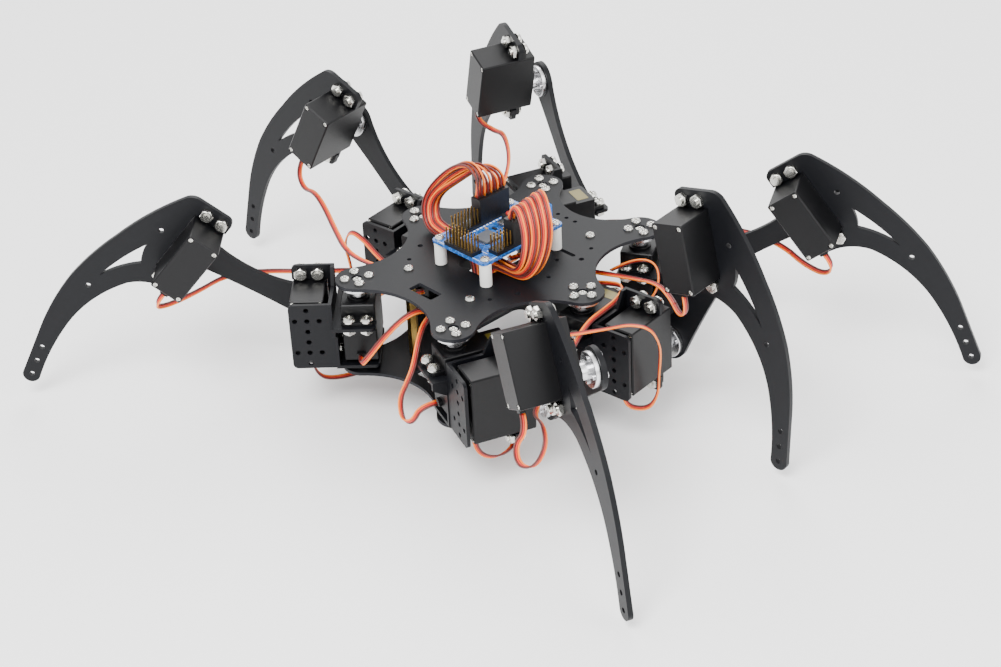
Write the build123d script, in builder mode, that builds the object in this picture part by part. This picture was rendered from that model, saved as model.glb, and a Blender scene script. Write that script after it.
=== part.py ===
"""Six-legged walking robot: two deck plates, eighteen hobby servos in folded brackets, and claw feet.

Millimetres, +Z up, +Y is the robot's front. The origin is the centre of the top plate's upper face.
"""

from build123d import *
import os
from math import cos, pi, radians, sin, sqrt, tan

# Deck: two equal plates with a lobe round each hip axis
PLATE_THICKNESS = 2.0
LOBE_RADIUS = 12.4
CORNER_HIP_X = 40.1
CORNER_HIP_Y = 74.4
MIDDLE_HIP_X = 66.0
SIDE_WAIST = 6.4
FRONT_WAIST = 12.4
REAR_WAIST = 4.0
POST_X = 25.4
POST_Y = 48.0
POST_HEX = 5.5
LEAD_WINDOW = (18.5, 8.6)
LEAD_WINDOW_Y = -58.4
LEAD_OPENING = (24.0, 46.0)
LEAD_OPENING_Y = -3.0
LOWER_OPENING = (36.0, 60.0)
ACCESSORY_PITCH = (80.8, 50.8)
SPARE_HOLE = 2.6
SPARE_ROW_Y = 54.4
SLOT = (12.0, 2.6)
SLOT_X = 29.2
CORNER_HORN_TURN = 61.0
MIDDLE_HORN_TURN = 1.0

# Servo case, with the shaft axis at x = 0, the far end at +x and the case bottom at z = 0
CASE_LENGTH = 40.7
CASE_WIDTH = 19.7
CASE_HEIGHT = 37.0
CASE_CORNER = 1.0
SHAFT_TO_END = 10.1
COVER_SPLIT = 8.2
TOP_SPLIT = 29.3
STEP_DROP = 1.6
STEP_X = 17.5
EAR_SPAN = 54.0
EAR_WIDTH = 18.6
EAR_THICKNESS = 2.5
EAR_HOLE_PITCH_X = 49.5
EAR_HOLE_PITCH_Y = 10.0
EAR_HOLE = 4.4
BOSS_DIAMETER = 13.0
BOSS_HEIGHT = 1.2
SHAFT_DIAMETER = 5.8
SHAFT_CLEARANCE = 0.1
SHAFT_DEPTH = 4.0
CASE_SCREW_X = 18.3
CASE_SCREW_Y = 7.8
BOOT = (2.0, 5.2, 3.6)
BOOT_Z = 4.0

# Horn disc on each servo shaft
HORN_DIAMETER = 20.0
HORN_THICKNESS = 3.0
HORN_FACE_Z = 47.0
HUB_DIAMETER = 9.6
HUB_GAP = 0.8
HORN_SCREW_CIRCLE = 14.0
HORN_SCREWS = 4

# Folded sheet bracket round the hip servo and the thigh servo
SHEET = 2.0
BACK_GAP = 2.35
BRACKET_START = 11.5
BRACKET_LENGTH = 42.0
WALL_TO_AXIS = 14.7
FREE_EDGE = 10.3
TAB_SPAN = 59.5
BRACKET_CORNER = 3.0
HOLE_PITCH = 7.0
PATTERN_CENTRE = 13.0
PATTERN_HOLE = 3.0
WINDOW_CLEARANCE = 0.3

# Leg layout
THIGH_AXIS_Z = -41.4
SERVO_BACK = -6.55
LINK_LENGTH = 86.25
LINK_END_RADIUS = 12.0
LINK_THICKNESS = 3.0
LINK_LOWER = 10.6
LINK_UPPER = 2.4
LINK_HORN_TURN = 45.0
CLAW_THICKNESS = 3.0
CLAW_HOLE = 3.2

# Fasteners
M3 = 2.9
M3_HEAD = 5.6
M3_HEAD_HEIGHT = 1.9
M3_CLEAR = 3.2
HEAD_ROOM = 0.4
M3_NUT_ACROSS = 5.5
M3_NUT_HEIGHT = 2.3
M4 = 3.9
M4_HEAD = 7.4
M4_HEAD_HEIGHT = 2.6
NUT_ACROSS = 7.0
NUT_HEIGHT = 3.0
THREAD_FIT = 0.05
CASE_SCREW = 2.0
CASE_SCREW_HEAD = 3.0
CASE_SCREW_HEAD_HEIGHT = 1.3

# Bearing that carries each hip bracket on the bottom plate
BEARING_HOLE = 8.0
BEARING_CLEARANCE = 0.08
BEARING_FLANGE = 12.0
BEARING_FLANGE_HEIGHT = 2.4
BEARING_GAP = 0.3
BEARING_NUT = (10.0, 0.5, 0.7)

# Controller board
BOARD_SIZE = (44.0, 63.5)
BOARD_CENTRE = (2.0, -3.0)
BOARD_THICKNESS = 1.6
BOARD_HOLE_PITCH = (37.2, 55.5)
BOARD_CORNER = 3.0
NYLON_DIAMETER = 7.0
NYLON_HEIGHT = 14.5
PIN_PITCH = 2.54
PIN_WIDTH = 0.64
PIN_TOP = 9.0
STRIP_HEIGHT = 2.5
PLUG_HEIGHT = 14.0
PLUG_FIT = 0.04
PLUG_SOCKET = 1.0
LONG_COLUMNS = 16
SHORT_COLUMNS = 9
LEFT_INSET = 7.5
RIGHT_INSET = 4.6
REAR_INSET = 4.6
LEFT_PLUGS = 9
RIGHT_PLUGS = 9
RIGHT_FIRST = 5
TERMINAL = (15.0, 8.0, 10.0)
TERMINAL_X = 5.0
DECK_SCREW_GRIP = 5.0

# Side (+1 right, -1 left), hip place, and the yaw, thigh elevation and knee servo angle of the pose
LEGS = {
    "rear_left": (-1, (-CORNER_HIP_X, -CORNER_HIP_Y), 224.8, 31.8, 130.1),
    "middle_left": (-1, (-MIDDLE_HIP_X, 0.0), 187.8, 47.6, 117.5),
    "front_left": (-1, (-CORNER_HIP_X, CORNER_HIP_Y), 160.7, 49.5, 107.5),
    "rear_right": (1, (CORNER_HIP_X, -CORNER_HIP_Y), 339.1, 41.6, 118.3),
    "middle_right": (1, (MIDDLE_HIP_X, 0.0), 6.4, 63.0, 102.1),
    "front_right": (1, (CORNER_HIP_X, CORNER_HIP_Y), 30.0, 33.3, 126.1),
}
HIP_ORDER = ["front_right", "front_left", "middle_left", "rear_left", "rear_right", "middle_right"]

# Servo leads, limp three-way ribbons: the corners each one goes round, from its servo to between the decks
LEAD_DIAMETER = 2.0
CORNER_SHARE = 0.45
LEAD_ROUTES = {
    "rear_left_knee": [
        (-116.9, -154.3, -5.5), (-121.8, -159.1, -13.6), (-127.0, -147.0, -21.0),
        (-125.0, -126.0, -20.0), (-132.0, -99.0, -23.0), (-126.0, -76.0, -28.0),
        (-106.0, -57.0, -29.0), (-84.0, -42.0, -26.0), (-62.0, -32.0, -24.0), (-44.0, -26.0, -24.0),
    ],
    "rear_left_thigh": [
        (-59.2, -97.0, -53.9), (-58.5, -96.0, -63.9), (-52.0, -85.0, -68.0), (-42.0, -66.0, -65.0),
        (-32.0, -46.0, -64.0), (-17.0, -27.0, -65.0), (-11.0, -18.0, -57.0), (-9.0, -14.0, -46.0),
    ],
    "rear_left_hip": [
        (-31.3, -83.3, -45.0), (-24.9, -89.7, -45.0), (-17.0, -91.0, -37.0), (-11.0, -82.0, -24.0),
        (-5.0, -71.0, -13.0), (-1.0, -60.0, -11.0), (-2.0, -51.0, -22.0), (-8.0, -44.0, -34.0),
    ],
    "middle_left_knee": [
        (-158.2, -15.2, 11.1), (-162.8, -15.9, 2.0), (-153.0, -20.0, -5.0), (-135.0, -26.0, 2.0),
        (-115.0, -35.0, 3.0), (-95.0, -44.0, -2.0), (-76.0, -52.0, -6.0), (-58.0, -52.0, -7.0),
        (-43.0, -46.0, -8.0), (-28.0, -38.0, -12.0),
    ],
    "middle_left_thigh": [
        (-94.8, -6.5, -53.9), (-95.5, -8.0, -63.5), (-105.0, -15.0, -65.0), (-113.0, -20.0, -54.0),
        (-114.0, -20.0, -42.0), (-117.0, -21.0, -30.0), (-110.0, -21.0, -17.0), (-95.0, -22.0, -19.0),
        (-82.0, -25.0, -22.0), (-66.0, -26.0, -26.0), (-50.0, -22.0, -26.0),
    ],
    "middle_left_hip": [
        (-64.2, -12.4, -45.0), (-63.0, -22.0, -45.0), (-54.0, -27.0, -38.0), (-42.0, -24.0, -32.0),
    ],
    "front_left_knee": [
        (-125.2, 101.4, 12.2), (-128.0, 104.0, 3.0), (-118.0, 109.0, -3.0), (-101.0, 101.0, 4.0),
        (-82.0, 87.0, 4.0), (-69.0, 74.0, 2.0), (-62.0, 61.0, -5.0), (-50.0, 48.0, -8.0),
        (-36.0, 38.0, -12.0),
    ],
    "front_left_thigh": [
        (-68.7, 81.7, -53.9), (-68.7, 81.7, -63.9), (-75.0, 71.0, -68.0), (-70.0, 58.0, -56.0),
        (-58.0, 48.0, -42.0), (-44.0, 40.0, -36.0),
    ],
    "front_left_hip": [
        (-44.2, 62.6, -45.0), (-47.4, 53.6, -45.0), (-42.0, 44.0, -40.0), (-32.0, 38.0, -32.0),
    ],
    "rear_right_knee": [
        (132.6, -112.4, 4.8), (136.6, -114.0, -3.4), (131.0, -117.0, -13.0), (135.0, -119.0, -23.0),
        (145.0, -117.0, -21.0), (147.0, -110.0, -10.0), (138.0, -103.0, -4.0), (124.0, -96.0, -9.0),
        (108.0, -78.0, -18.0), (92.0, -56.0, -18.0), (77.0, -37.0, -24.0), (60.0, -31.0, -31.0),
    ],
    "rear_right_thigh": [
        (66.7, -87.3, -53.9), (67.0, -87.0, -63.9), (76.0, -80.0, -67.0), (76.0, -65.0, -65.0),
        (60.0, -54.0, -64.0), (42.0, -42.0, -64.0), (20.0, -26.0, -66.0), (12.0, -16.0, -58.0),
        (9.0, -12.0, -46.0),
    ],
    "rear_right_hip": [
        (35.7, -86.1, -45.0), (32.2, -95.4, -45.0), (29.0, -99.0, -55.0), (19.0, -98.0, -59.0),
        (13.0, -94.0, -49.0), (18.0, -91.0, -36.0), (24.0, -91.0, -24.0), (21.0, -84.0, -12.0),
        (13.0, -72.0, -9.0), (6.0, -58.0, -12.0), (4.0, -44.0, -18.0),
    ],
    "middle_right_knee": [
        (137.1, 5.4, 23.2), (139.1, 5.6, 13.8), (128.0, 12.0, 4.0), (107.0, 28.0, 0.0),
        (84.0, 42.0, -6.0), (61.0, 45.0, -13.0), (42.0, 42.0, -16.0), (26.0, 38.0, -18.0),
    ],
    "middle_right_thigh": [
        (95.5, 0.7, -53.9), (95.5, 0.7, -63.5), (106.0, 10.0, -66.0), (111.0, 13.0, -54.0),
        (112.0, 12.0, -40.0), (117.0, 8.0, -25.0), (121.0, 3.0, -12.0), (121.0, -4.0, 1.0),
        (110.0, -9.0, 1.0), (100.0, -12.0, -4.0), (90.0, -17.0, -8.0), (77.0, -26.0, -12.0),
        (62.0, -30.0, -16.0), (46.0, -30.0, -20.0),
    ],
    "middle_right_hip": [
        (67.3, -12.4, -45.0), (68.4, -22.0, -45.0), (75.0, -30.0, -36.0), (81.0, -25.0, -20.0),
        (81.0, -12.0, -8.5), (79.5, 3.0, -8.0), (76.0, 18.0, -9.0), (68.0, 32.0, -10.0),
        (54.0, 34.0, -14.0), (40.0, 30.0, -18.0),
    ],
    "front_right_knee": [
        (135.6, 126.7, -4.1), (140.5, 129.6, -12.0), (130.0, 134.0, -23.0), (112.0, 136.0, -23.0),
        (91.0, 147.0, -26.0), (66.0, 152.0, -28.0), (42.0, 142.0, -27.0), (20.0, 117.0, -23.0),
        (2.0, 98.0, -20.0), (-6.0, 78.0, -16.0), (-8.0, 60.0, -14.0),
    ],
    "front_right_thigh": [
        (66.9, 86.9, -53.9), (66.9, 86.9, -63.9), (76.0, 77.0, -66.0), (76.0, 64.0, -54.0),
        (68.0, 54.0, -42.0), (54.0, 48.0, -36.0), (40.0, 44.0, -34.0),
    ],
    "front_right_hip": [
        (46.4, 63.5, -45.0), (51.4, 54.9, -45.0), (61.0, 54.0, -37.0), (67.0, 62.0, -25.0),
        (60.0, 68.0, -13.0), (49.0, 59.0, -11.0), (38.0, 52.0, -20.0),
    ],
}

# Leads from the plugs: each corner's place, the step to the next row of three, and the step inside a row
LEFT_BUNDLE = [
    ((-12.5, 5.89, 33.0), (0.0, 7.62, 0.0), (0.0, 2.54, 0.0)),
    ((-9.5, 5.5, 43.0), (0.0, 7.5, -2.0), (0.0, 2.5, 0.0)),
    ((-20.0, 3.5, 50.0), (-0.5, 6.0, -3.2), (0.0, 2.5, 0.0)),
    ((-36.0, 0.0, 38.0), (2.2, 1.4, -3.0), (0.3, 2.5, 0.0)),
    ((-53.0, -4.0, 20.0), (3.0, 0.0, 0.6), (0.3, 2.5, 0.0)),
    ((-50.0, -8.0, 5.5), (3.0, -0.4, 2.4), (0.0, 2.5, 0.0)),
    ((-36.0, -11.0, 5.0), (0.8, -0.6, 2.6), (0.0, 2.4, 0.0)),
    ((-20.0, -12.0, 4.6), (0.4, 0.0, 2.5), (0.0, 2.4, 0.0)),
    ((-3.0, -13.0, 4.4), (2.5, 0.0, 2.5), (0.0, 2.4, 0.0)),
    ((-3.0, -13.0, -12.0), (2.5, 0.0, 0.0), (0.0, 2.4, 0.0)),
]
RIGHT_BUNDLE = [
    ((19.4, 0.81, 33.0), (0.0, 7.62, 0.0), (0.0, 2.54, 0.0)),
    ((21.5, 0.3, 43.0), (0.3, 7.2, 1.6), (0.0, 2.5, 0.0)),
    ((32.0, -4.0, 46.0), (1.6, 6.0, 2.2), (0.0, 2.5, 0.0)),
    ((42.0, -9.0, 31.0), (2.8, 5.0, 0.8), (0.0, 2.5, 0.0)),
    ((41.0, -13.0, 14.0), (3.0, 3.6, -0.4), (0.0, 2.5, 0.0)),
    ((34.0, -15.0, 5.0), (2.6, 1.6, -2.4), (0.0, 2.4, 0.0)),
    ((22.0, -15.0, 4.8), (0.0, 0.8, -2.6), (0.0, 2.4, 0.0)),
    ((7.0, -15.0, 4.8), (2.6, 0.4, -2.6), (0.0, 2.4, 0.0)),
    ((7.0, -15.0, -12.0), (2.6, 0.0, 0.0), (0.0, 2.4, 0.0)),
]

# Places that follow from the dimensions above
case_centre = CASE_LENGTH / 2 - SHAFT_TO_END
ear_top = TOP_SPLIT
ear_bottom = ear_top - EAR_THICKNESS
horn_back_z = HORN_FACE_Z - HORN_THICKNESS
hub_bottom_z = CASE_HEIGHT + BOSS_HEIGHT + HUB_GAP
shaft_bottom_z = CASE_HEIGHT + BOSS_HEIGHT - SHAFT_DEPTH
shaft_top_z = horn_back_z - 1.0
bracket_back = -BACK_GAP - SHEET
window_half = CASE_WIDTH / 2 + WINDOW_CLEARANCE
window_start = -SHAFT_TO_END - WINDOW_CLEARANCE
window_end = CASE_LENGTH - SHAFT_TO_END + WINDOW_CLEARANCE
plate_bottom = -PLATE_THICKNESS
hip_case_z = plate_bottom - HORN_FACE_Z
bearing_top = hip_case_z + bracket_back - BEARING_GAP
lower_deck_top = bearing_top - BEARING_FLANGE_HEIGHT
lower_deck_bottom = lower_deck_top - PLATE_THICKNESS
post_length = plate_bottom - lower_deck_top
thigh_axis_x = 2 * WALL_TO_AXIS
board_bottom = NYLON_HEIGHT
board_top = board_bottom + BOARD_THICKNESS
strip_top = board_top + STRIP_HEIGHT
ear_holes = [
    (case_centre + sx * EAR_HOLE_PITCH_X / 2, sy * EAR_HOLE_PITCH_Y / 2)
    for sx in (-1, 1)
    for sy in (-1, 1)
]
case_screws = [(case_centre + sx * CASE_SCREW_X, sy * CASE_SCREW_Y) for sx in (-1, 1) for sy in (-1, 1)]
post_places = [(sx * POST_X, sy * POST_Y) for sx in (-1, 1) for sy in (-1, 1)]
board_places = [
    (BOARD_CENTRE[0] + sx * BOARD_HOLE_PITCH[0] / 2, BOARD_CENTRE[1] + sy * BOARD_HOLE_PITCH[1] / 2)
    for sx in (-1, 1)
    for sy in (-1, 1)
]
hip_places = [LEGS[name][1] for name in HIP_ORDER]
accessory_places = [
    (sx * ACCESSORY_PITCH[0] / 2, sy * ACCESSORY_PITCH[1] / 2) for sx in (-1, 1) for sy in (-1, 1)
]
spare_places = [(column * HOLE_PITCH, SPARE_ROW_Y) for column in (-1, 0, 1)] + [
    (side * x, y) for side in (-1, 1) for x, y in [(36.0, 38.0), (30.6, 15.4), (40.6, -1.3), (33.4, -40.3)]
]
board_left = BOARD_CENTRE[0] - BOARD_SIZE[0] / 2 + LEFT_INSET
board_right = BOARD_CENTRE[0] + BOARD_SIZE[0] / 2 - RIGHT_INSET
board_back = BOARD_CENTRE[1] - BOARD_SIZE[1] / 2 + REAR_INSET
long_start = BOARD_CENTRE[1] - PIN_PITCH * (LONG_COLUMNS - 1) / 2


def lobed_outline(centres, lobe_radius, waists):
    """Draws a lobe round each centre and, between neighbours, the hollow arc tangent to both lobes.

    A waist is how far the hollow's deepest point lies inside the line between two centres, listed
    counter-clockwise. With c half that line: R = (c^2 + w^2 - r^2) / (2 (r + w)).
    """
    count = len(centres)
    middle = sum((Vector(*c) for c in centres), Vector()) / count
    starts = []
    ends = []
    deepest = []
    for i, waist in enumerate(waists):
        here = Vector(*centres[i])
        there = Vector(*centres[(i + 1) % count])
        along = there - here
        outward = Vector(along.Y, -along.X) / along.length
        radius = ((along.length / 2) ** 2 + waist**2 - lobe_radius**2) / (2 * (lobe_radius + waist))
        halfway = (here + there) / 2
        hub = halfway + outward * (radius - waist)
        starts.append(here + (hub - here).normalized() * lobe_radius)
        ends.append(there + (hub - there).normalized() * lobe_radius)
        deepest.append(halfway - outward * waist)
    for i in range(count):
        centre = Vector(*centres[i])
        tip = centre + (centre - middle).normalized() * lobe_radius
        ThreePointArc(ends[i - 1], tip, starts[i])
        ThreePointArc(starts[i], deepest[i], ends[i])


def pan_screw(shank, head, head_height, length):
    """A cross-recessed pan-head screw, seated at z = 0 with its shank down."""
    with BuildPart() as screw:
        with BuildSketch(Plane.XZ):
            Polygon(
                (0, -length),
                (shank / 2, -length),
                (shank / 2, 0),
                (head / 2, 0),
                (head / 2, head_height * 0.4),
                (head * 0.42, head_height * 0.82),
                (head * 0.25, head_height),
                (0, head_height),
                align=None,
            )
        revolve(axis=Axis.Z)
        with BuildSketch(Plane.XY.offset(head_height)):
            Rectangle(head * 0.56, head * 0.14)
            Rectangle(head * 0.14, head * 0.56)
        extrude(amount=-head_height * 0.6, mode=Mode.SUBTRACT)
    return screw.part


def hex_nut(across, height, bore):
    """A hexagon nut with turned corners, standing on z = 0."""
    with BuildPart() as nut:
        with BuildSketch():
            RegularPolygon(across / 2, 6, major_radius=False)
            Circle(bore / 2, mode=Mode.SUBTRACT)
        extrude(amount=height)
        corner = across / sqrt(3)
        with BuildSketch(Plane.XZ):
            Polygon(
                (0, 0),
                (across * 0.48, 0),
                (corner, height * 0.18),
                (corner, height * 0.82),
                (across * 0.48, height),
                (0, height),
                align=None,
            )
        revolve(axis=Axis.Z, mode=Mode.INTERSECT)
    return nut.part


def deck_plate(upper):
    """One deck plate, standing on z = 0, with its hip, post and lead holes."""
    with BuildPart() as plate:
        with BuildSketch():
            with BuildLine():
                side = SIDE_WAIST
                lobed_outline(hip_places, LOBE_RADIUS, [FRONT_WAIST, side, side, REAR_WAIST, side, side])
            make_face()
            with Locations(*post_places):
                Circle(M3_CLEAR / 2, mode=Mode.SUBTRACT)
            with Locations((0, LEAD_WINDOW_Y)):
                RectangleRounded(*LEAD_WINDOW, 1.0, mode=Mode.SUBTRACT)
            if upper:
                for place in hip_places:
                    with Locations(place):
                        with PolarLocations(HORN_SCREW_CIRCLE / 2, HORN_SCREWS, start_angle=horn_turn(place)):
                            Circle(M3_CLEAR / 2, mode=Mode.SUBTRACT)
                        Circle(M3_HEAD / 2 + HEAD_ROOM, mode=Mode.SUBTRACT)
                with Locations(*board_places):
                    Circle(M3_CLEAR / 2, mode=Mode.SUBTRACT)
                with Locations((BOARD_CENTRE[0], LEAD_OPENING_Y)):
                    RectangleRounded(*LEAD_OPENING, 4.0, mode=Mode.SUBTRACT)
                with Locations(*accessory_places):
                    Circle(M3_CLEAR / 2, mode=Mode.SUBTRACT)
                with Locations(*spare_places):
                    Circle(SPARE_HOLE / 2, mode=Mode.SUBTRACT)
                with Locations((SLOT_X, ACCESSORY_PITCH[1] / 2), (-SLOT_X, ACCESSORY_PITCH[1] / 2)):
                    SlotOverall(*SLOT, mode=Mode.SUBTRACT)
            else:
                with Locations(*hip_places):
                    Circle(BEARING_HOLE / 2, mode=Mode.SUBTRACT)
                RectangleRounded(*LOWER_OPENING, 6.0, mode=Mode.SUBTRACT)
        extrude(amount=PLATE_THICKNESS)
    return plate.part


def servo_shells():
    """The bottom cover, the eared middle case and the stepped top cover of one servo."""
    with BuildPart() as base:
        with BuildSketch():
            with Locations((case_centre, 0)):
                RectangleRounded(CASE_LENGTH, CASE_WIDTH, CASE_CORNER)
        extrude(amount=COVER_SPLIT)
        chamfer(base.faces().sort_by(Axis.Z)[0].edges(), 0.7)
        with BuildSketch():
            with Locations(*case_screws):
                Circle(CASE_SCREW_HEAD / 2 + THREAD_FIT)
        extrude(amount=CASE_SCREW_HEAD_HEIGHT, mode=Mode.SUBTRACT)
        with BuildSketch():
            with Locations(*case_screws):
                Circle(CASE_SCREW / 2 + THREAD_FIT)
        extrude(amount=CASE_SCREW_HEAD_HEIGHT + 4.0, mode=Mode.SUBTRACT)
        with BuildSketch(Plane.YZ.offset(-SHAFT_TO_END)):
            with Locations((0, BOOT_Z)):
                RectangleRounded(BOOT[1], BOOT[2], 0.8)
        extrude(amount=-BOOT[0])
    with BuildPart() as case:
        with BuildSketch(Plane.XY.offset(COVER_SPLIT)):
            with Locations((case_centre, 0)):
                RectangleRounded(CASE_LENGTH, CASE_WIDTH, CASE_CORNER)
        extrude(amount=TOP_SPLIT - COVER_SPLIT)
        with BuildSketch(Plane.XY.offset(ear_bottom)):
            with Locations((case_centre, 0)):
                RectangleRounded(EAR_SPAN, EAR_WIDTH, 1.5)
            with Locations(*ear_holes):
                Circle(EAR_HOLE / 2, mode=Mode.SUBTRACT)
        extrude(amount=EAR_THICKNESS)
    with BuildPart() as lid:
        with BuildSketch(Plane.XY.offset(TOP_SPLIT)):
            with Locations((case_centre, 0)):
                RectangleRounded(CASE_LENGTH, CASE_WIDTH, CASE_CORNER)
        extrude(amount=CASE_HEIGHT - TOP_SPLIT)
        chamfer(lid.faces().sort_by(Axis.Z)[-1].edges(), 0.5)
        with BuildSketch(Plane.XY.offset(CASE_HEIGHT)):
            with Locations((STEP_X + CASE_LENGTH / 2, 0)):
                Rectangle(CASE_LENGTH, CASE_WIDTH + 1)
        extrude(amount=-STEP_DROP, mode=Mode.SUBTRACT)
        with BuildSketch(Plane.XY.offset(CASE_HEIGHT)):
            Circle(BOSS_DIAMETER / 2)
        extrude(amount=BOSS_HEIGHT)
        with BuildSketch(Plane.XY.offset(CASE_HEIGHT + BOSS_HEIGHT)):
            Circle(SHAFT_DIAMETER / 2 + SHAFT_CLEARANCE)
        extrude(amount=-SHAFT_DEPTH - BEARING_GAP, mode=Mode.SUBTRACT)
    return [base.part, case.part, lid.part]


def horn_and_shaft(turn):
    """The drilled horn disc with its hub, and the servo shaft inside it."""
    with BuildPart() as horn:
        with BuildSketch(Plane.XY.offset(hub_bottom_z)):
            Circle(HUB_DIAMETER / 2)
        extrude(amount=horn_back_z - hub_bottom_z)
        with BuildSketch(Plane.XY.offset(horn_back_z)):
            Circle(HORN_DIAMETER / 2)
        extrude(amount=HORN_THICKNESS)
        chamfer(horn.edges().filter_by(GeomType.CIRCLE).filter_by(lambda e: e.radius > HUB_DIAMETER), 0.3)
        with BuildSketch(Plane.XY.offset(HORN_FACE_Z)):
            with PolarLocations(HORN_SCREW_CIRCLE / 2, HORN_SCREWS, start_angle=turn):
                Circle(M3 / 2 + THREAD_FIT)
            Circle(M3 / 2 + THREAD_FIT)
        extrude(amount=-HORN_FACE_Z + hub_bottom_z, mode=Mode.SUBTRACT)
        with BuildSketch(Plane.XY.offset(hub_bottom_z)):
            Circle(SHAFT_DIAMETER / 2 + THREAD_FIT)
        extrude(amount=shaft_top_z - hub_bottom_z + THREAD_FIT, mode=Mode.SUBTRACT)
    with BuildPart() as shaft:
        with BuildSketch(Plane.XY.offset(shaft_bottom_z)):
            Circle(SHAFT_DIAMETER / 2)
        extrude(amount=shaft_top_z - shaft_bottom_z)
        with BuildSketch(Plane.XY.offset(shaft_top_z)):
            Circle(M3 / 2 + THREAD_FIT)
        extrude(amount=-6.0, mode=Mode.SUBTRACT)
    return [horn.part, shaft.part]


def bracket(pivot):
    """A folded bracket in the servo's frame: back plate, side wall and the two ear tabs.

    The hip bracket's back plate has the bearing hole on the servo's axis in place of a pattern hole.
    """
    back_end = BRACKET_LENGTH - BRACKET_START
    tab_start = case_centre - TAB_SPAN / 2
    tab_end = case_centre + TAB_SPAN / 2
    width = WALL_TO_AXIS + FREE_EDGE
    rows = {2: [0], 1: [-1, 0, 1], 0: [0], -1: [0], -2: [-1, 0, 1], -3: [0]}
    holes = [
        (PATTERN_CENTRE + row * HOLE_PITCH, column * HOLE_PITCH)
        for row, columns in rows.items()
        for column in columns
        if not (pivot and column == 0 and row in (-3, -2, -1))
    ]
    with BuildPart() as sheet:
        with BuildSketch(Plane.XY.offset(bracket_back)):
            with Locations((back_end - BRACKET_LENGTH / 2, FREE_EDGE - width / 2)):
                Rectangle(BRACKET_LENGTH, width)
        extrude(amount=SHEET)
        free_corners = sheet.edges().filter_by(Axis.Z).group_by(Axis.Y)[-1]
        fillet(free_corners, BRACKET_CORNER)
        with BuildSketch(Plane.XZ.offset(WALL_TO_AXIS)):
            Polygon(
                (-BRACKET_START, bracket_back),
                (back_end, bracket_back),
                (back_end, ear_bottom - 10.0),
                (tab_end, ear_bottom - 5.0),
                (tab_end, ear_bottom),
                (tab_start, ear_bottom),
                (tab_start, ear_bottom - 5.0),
                (-BRACKET_START, ear_bottom - 10.0),
                align=None,
            )
        extrude(amount=-SHEET)
        with BuildSketch(Plane.XY.offset(ear_bottom - SHEET)):
            with Locations((case_centre, FREE_EDGE - width / 2)):
                Rectangle(TAB_SPAN, width)
            with Locations(((window_start + window_end) / 2, FREE_EDGE)):
                Rectangle(window_end - window_start, 2 * (FREE_EDGE + window_half), mode=Mode.SUBTRACT)
        extrude(amount=SHEET)
        tips = sheet.edges().filter_by(Axis.Z).group_by(Axis.Y)[-1].sort_by(Axis.X)
        fillet([tips[0], tips[-1]], BRACKET_CORNER)
        with BuildSketch(Plane.XY.offset(bracket_back)):
            with Locations(*holes):
                Circle(PATTERN_HOLE / 2)
            if pivot:
                Circle(BEARING_HOLE / 2)
        extrude(amount=SHEET, mode=Mode.SUBTRACT)
        with BuildSketch(Plane.XY.offset(ear_bottom)):
            with Locations(*ear_holes):
                Circle(EAR_HOLE / 2)
        extrude(amount=-SHEET, mode=Mode.SUBTRACT)
        with BuildSketch(Plane.XZ.offset(WALL_TO_AXIS)):
            with Locations(*wall_bolts(pivot)):
                Circle(M3 / 2 + THREAD_FIT)
        extrude(amount=-SHEET, mode=Mode.SUBTRACT)
    return sheet.part


def wall_bolts(pivot):
    """The four bolt places that join the two side walls, in the (x, z) of one bracket's servo frame."""
    along = SERVO_BACK + bracket_back + (ear_bottom - bracket_back) / 2
    level = (hip_case_z + ear_bottom + hip_case_z + bracket_back) / 2
    places = [
        (along + sx * HOLE_PITCH, level + sz * HOLE_PITCH) for sx in (-1, 1) for sz in (-1, 1)
    ]
    if pivot:
        return [(x, z - hip_case_z) for x, z in places]
    return [(z - THIGH_AXIS_Z, x - SERVO_BACK) for x, z in places]


def link_plate():
    """The thigh link, in the thigh servo's frame turned so that x runs to the knee and y points down."""
    with BuildPart() as link:
        with BuildSketch(Plane.XY.offset(HORN_FACE_Z)):
            with BuildLine():
                lobed_outline([(0, 0), (LINK_LENGTH, 0)], LINK_END_RADIUS, [-LINK_UPPER, -LINK_LOWER])
            make_face()
            with Locations((0, 0), (LINK_LENGTH, 0)):
                with PolarLocations(HORN_SCREW_CIRCLE / 2, HORN_SCREWS, start_angle=LINK_HORN_TURN):
                    Circle(M3_CLEAR / 2, mode=Mode.SUBTRACT)
                Circle(M3_HEAD / 2 + HEAD_ROOM, mode=Mode.SUBTRACT)
        extrude(amount=LINK_THICKNESS)
    return link.part


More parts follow.
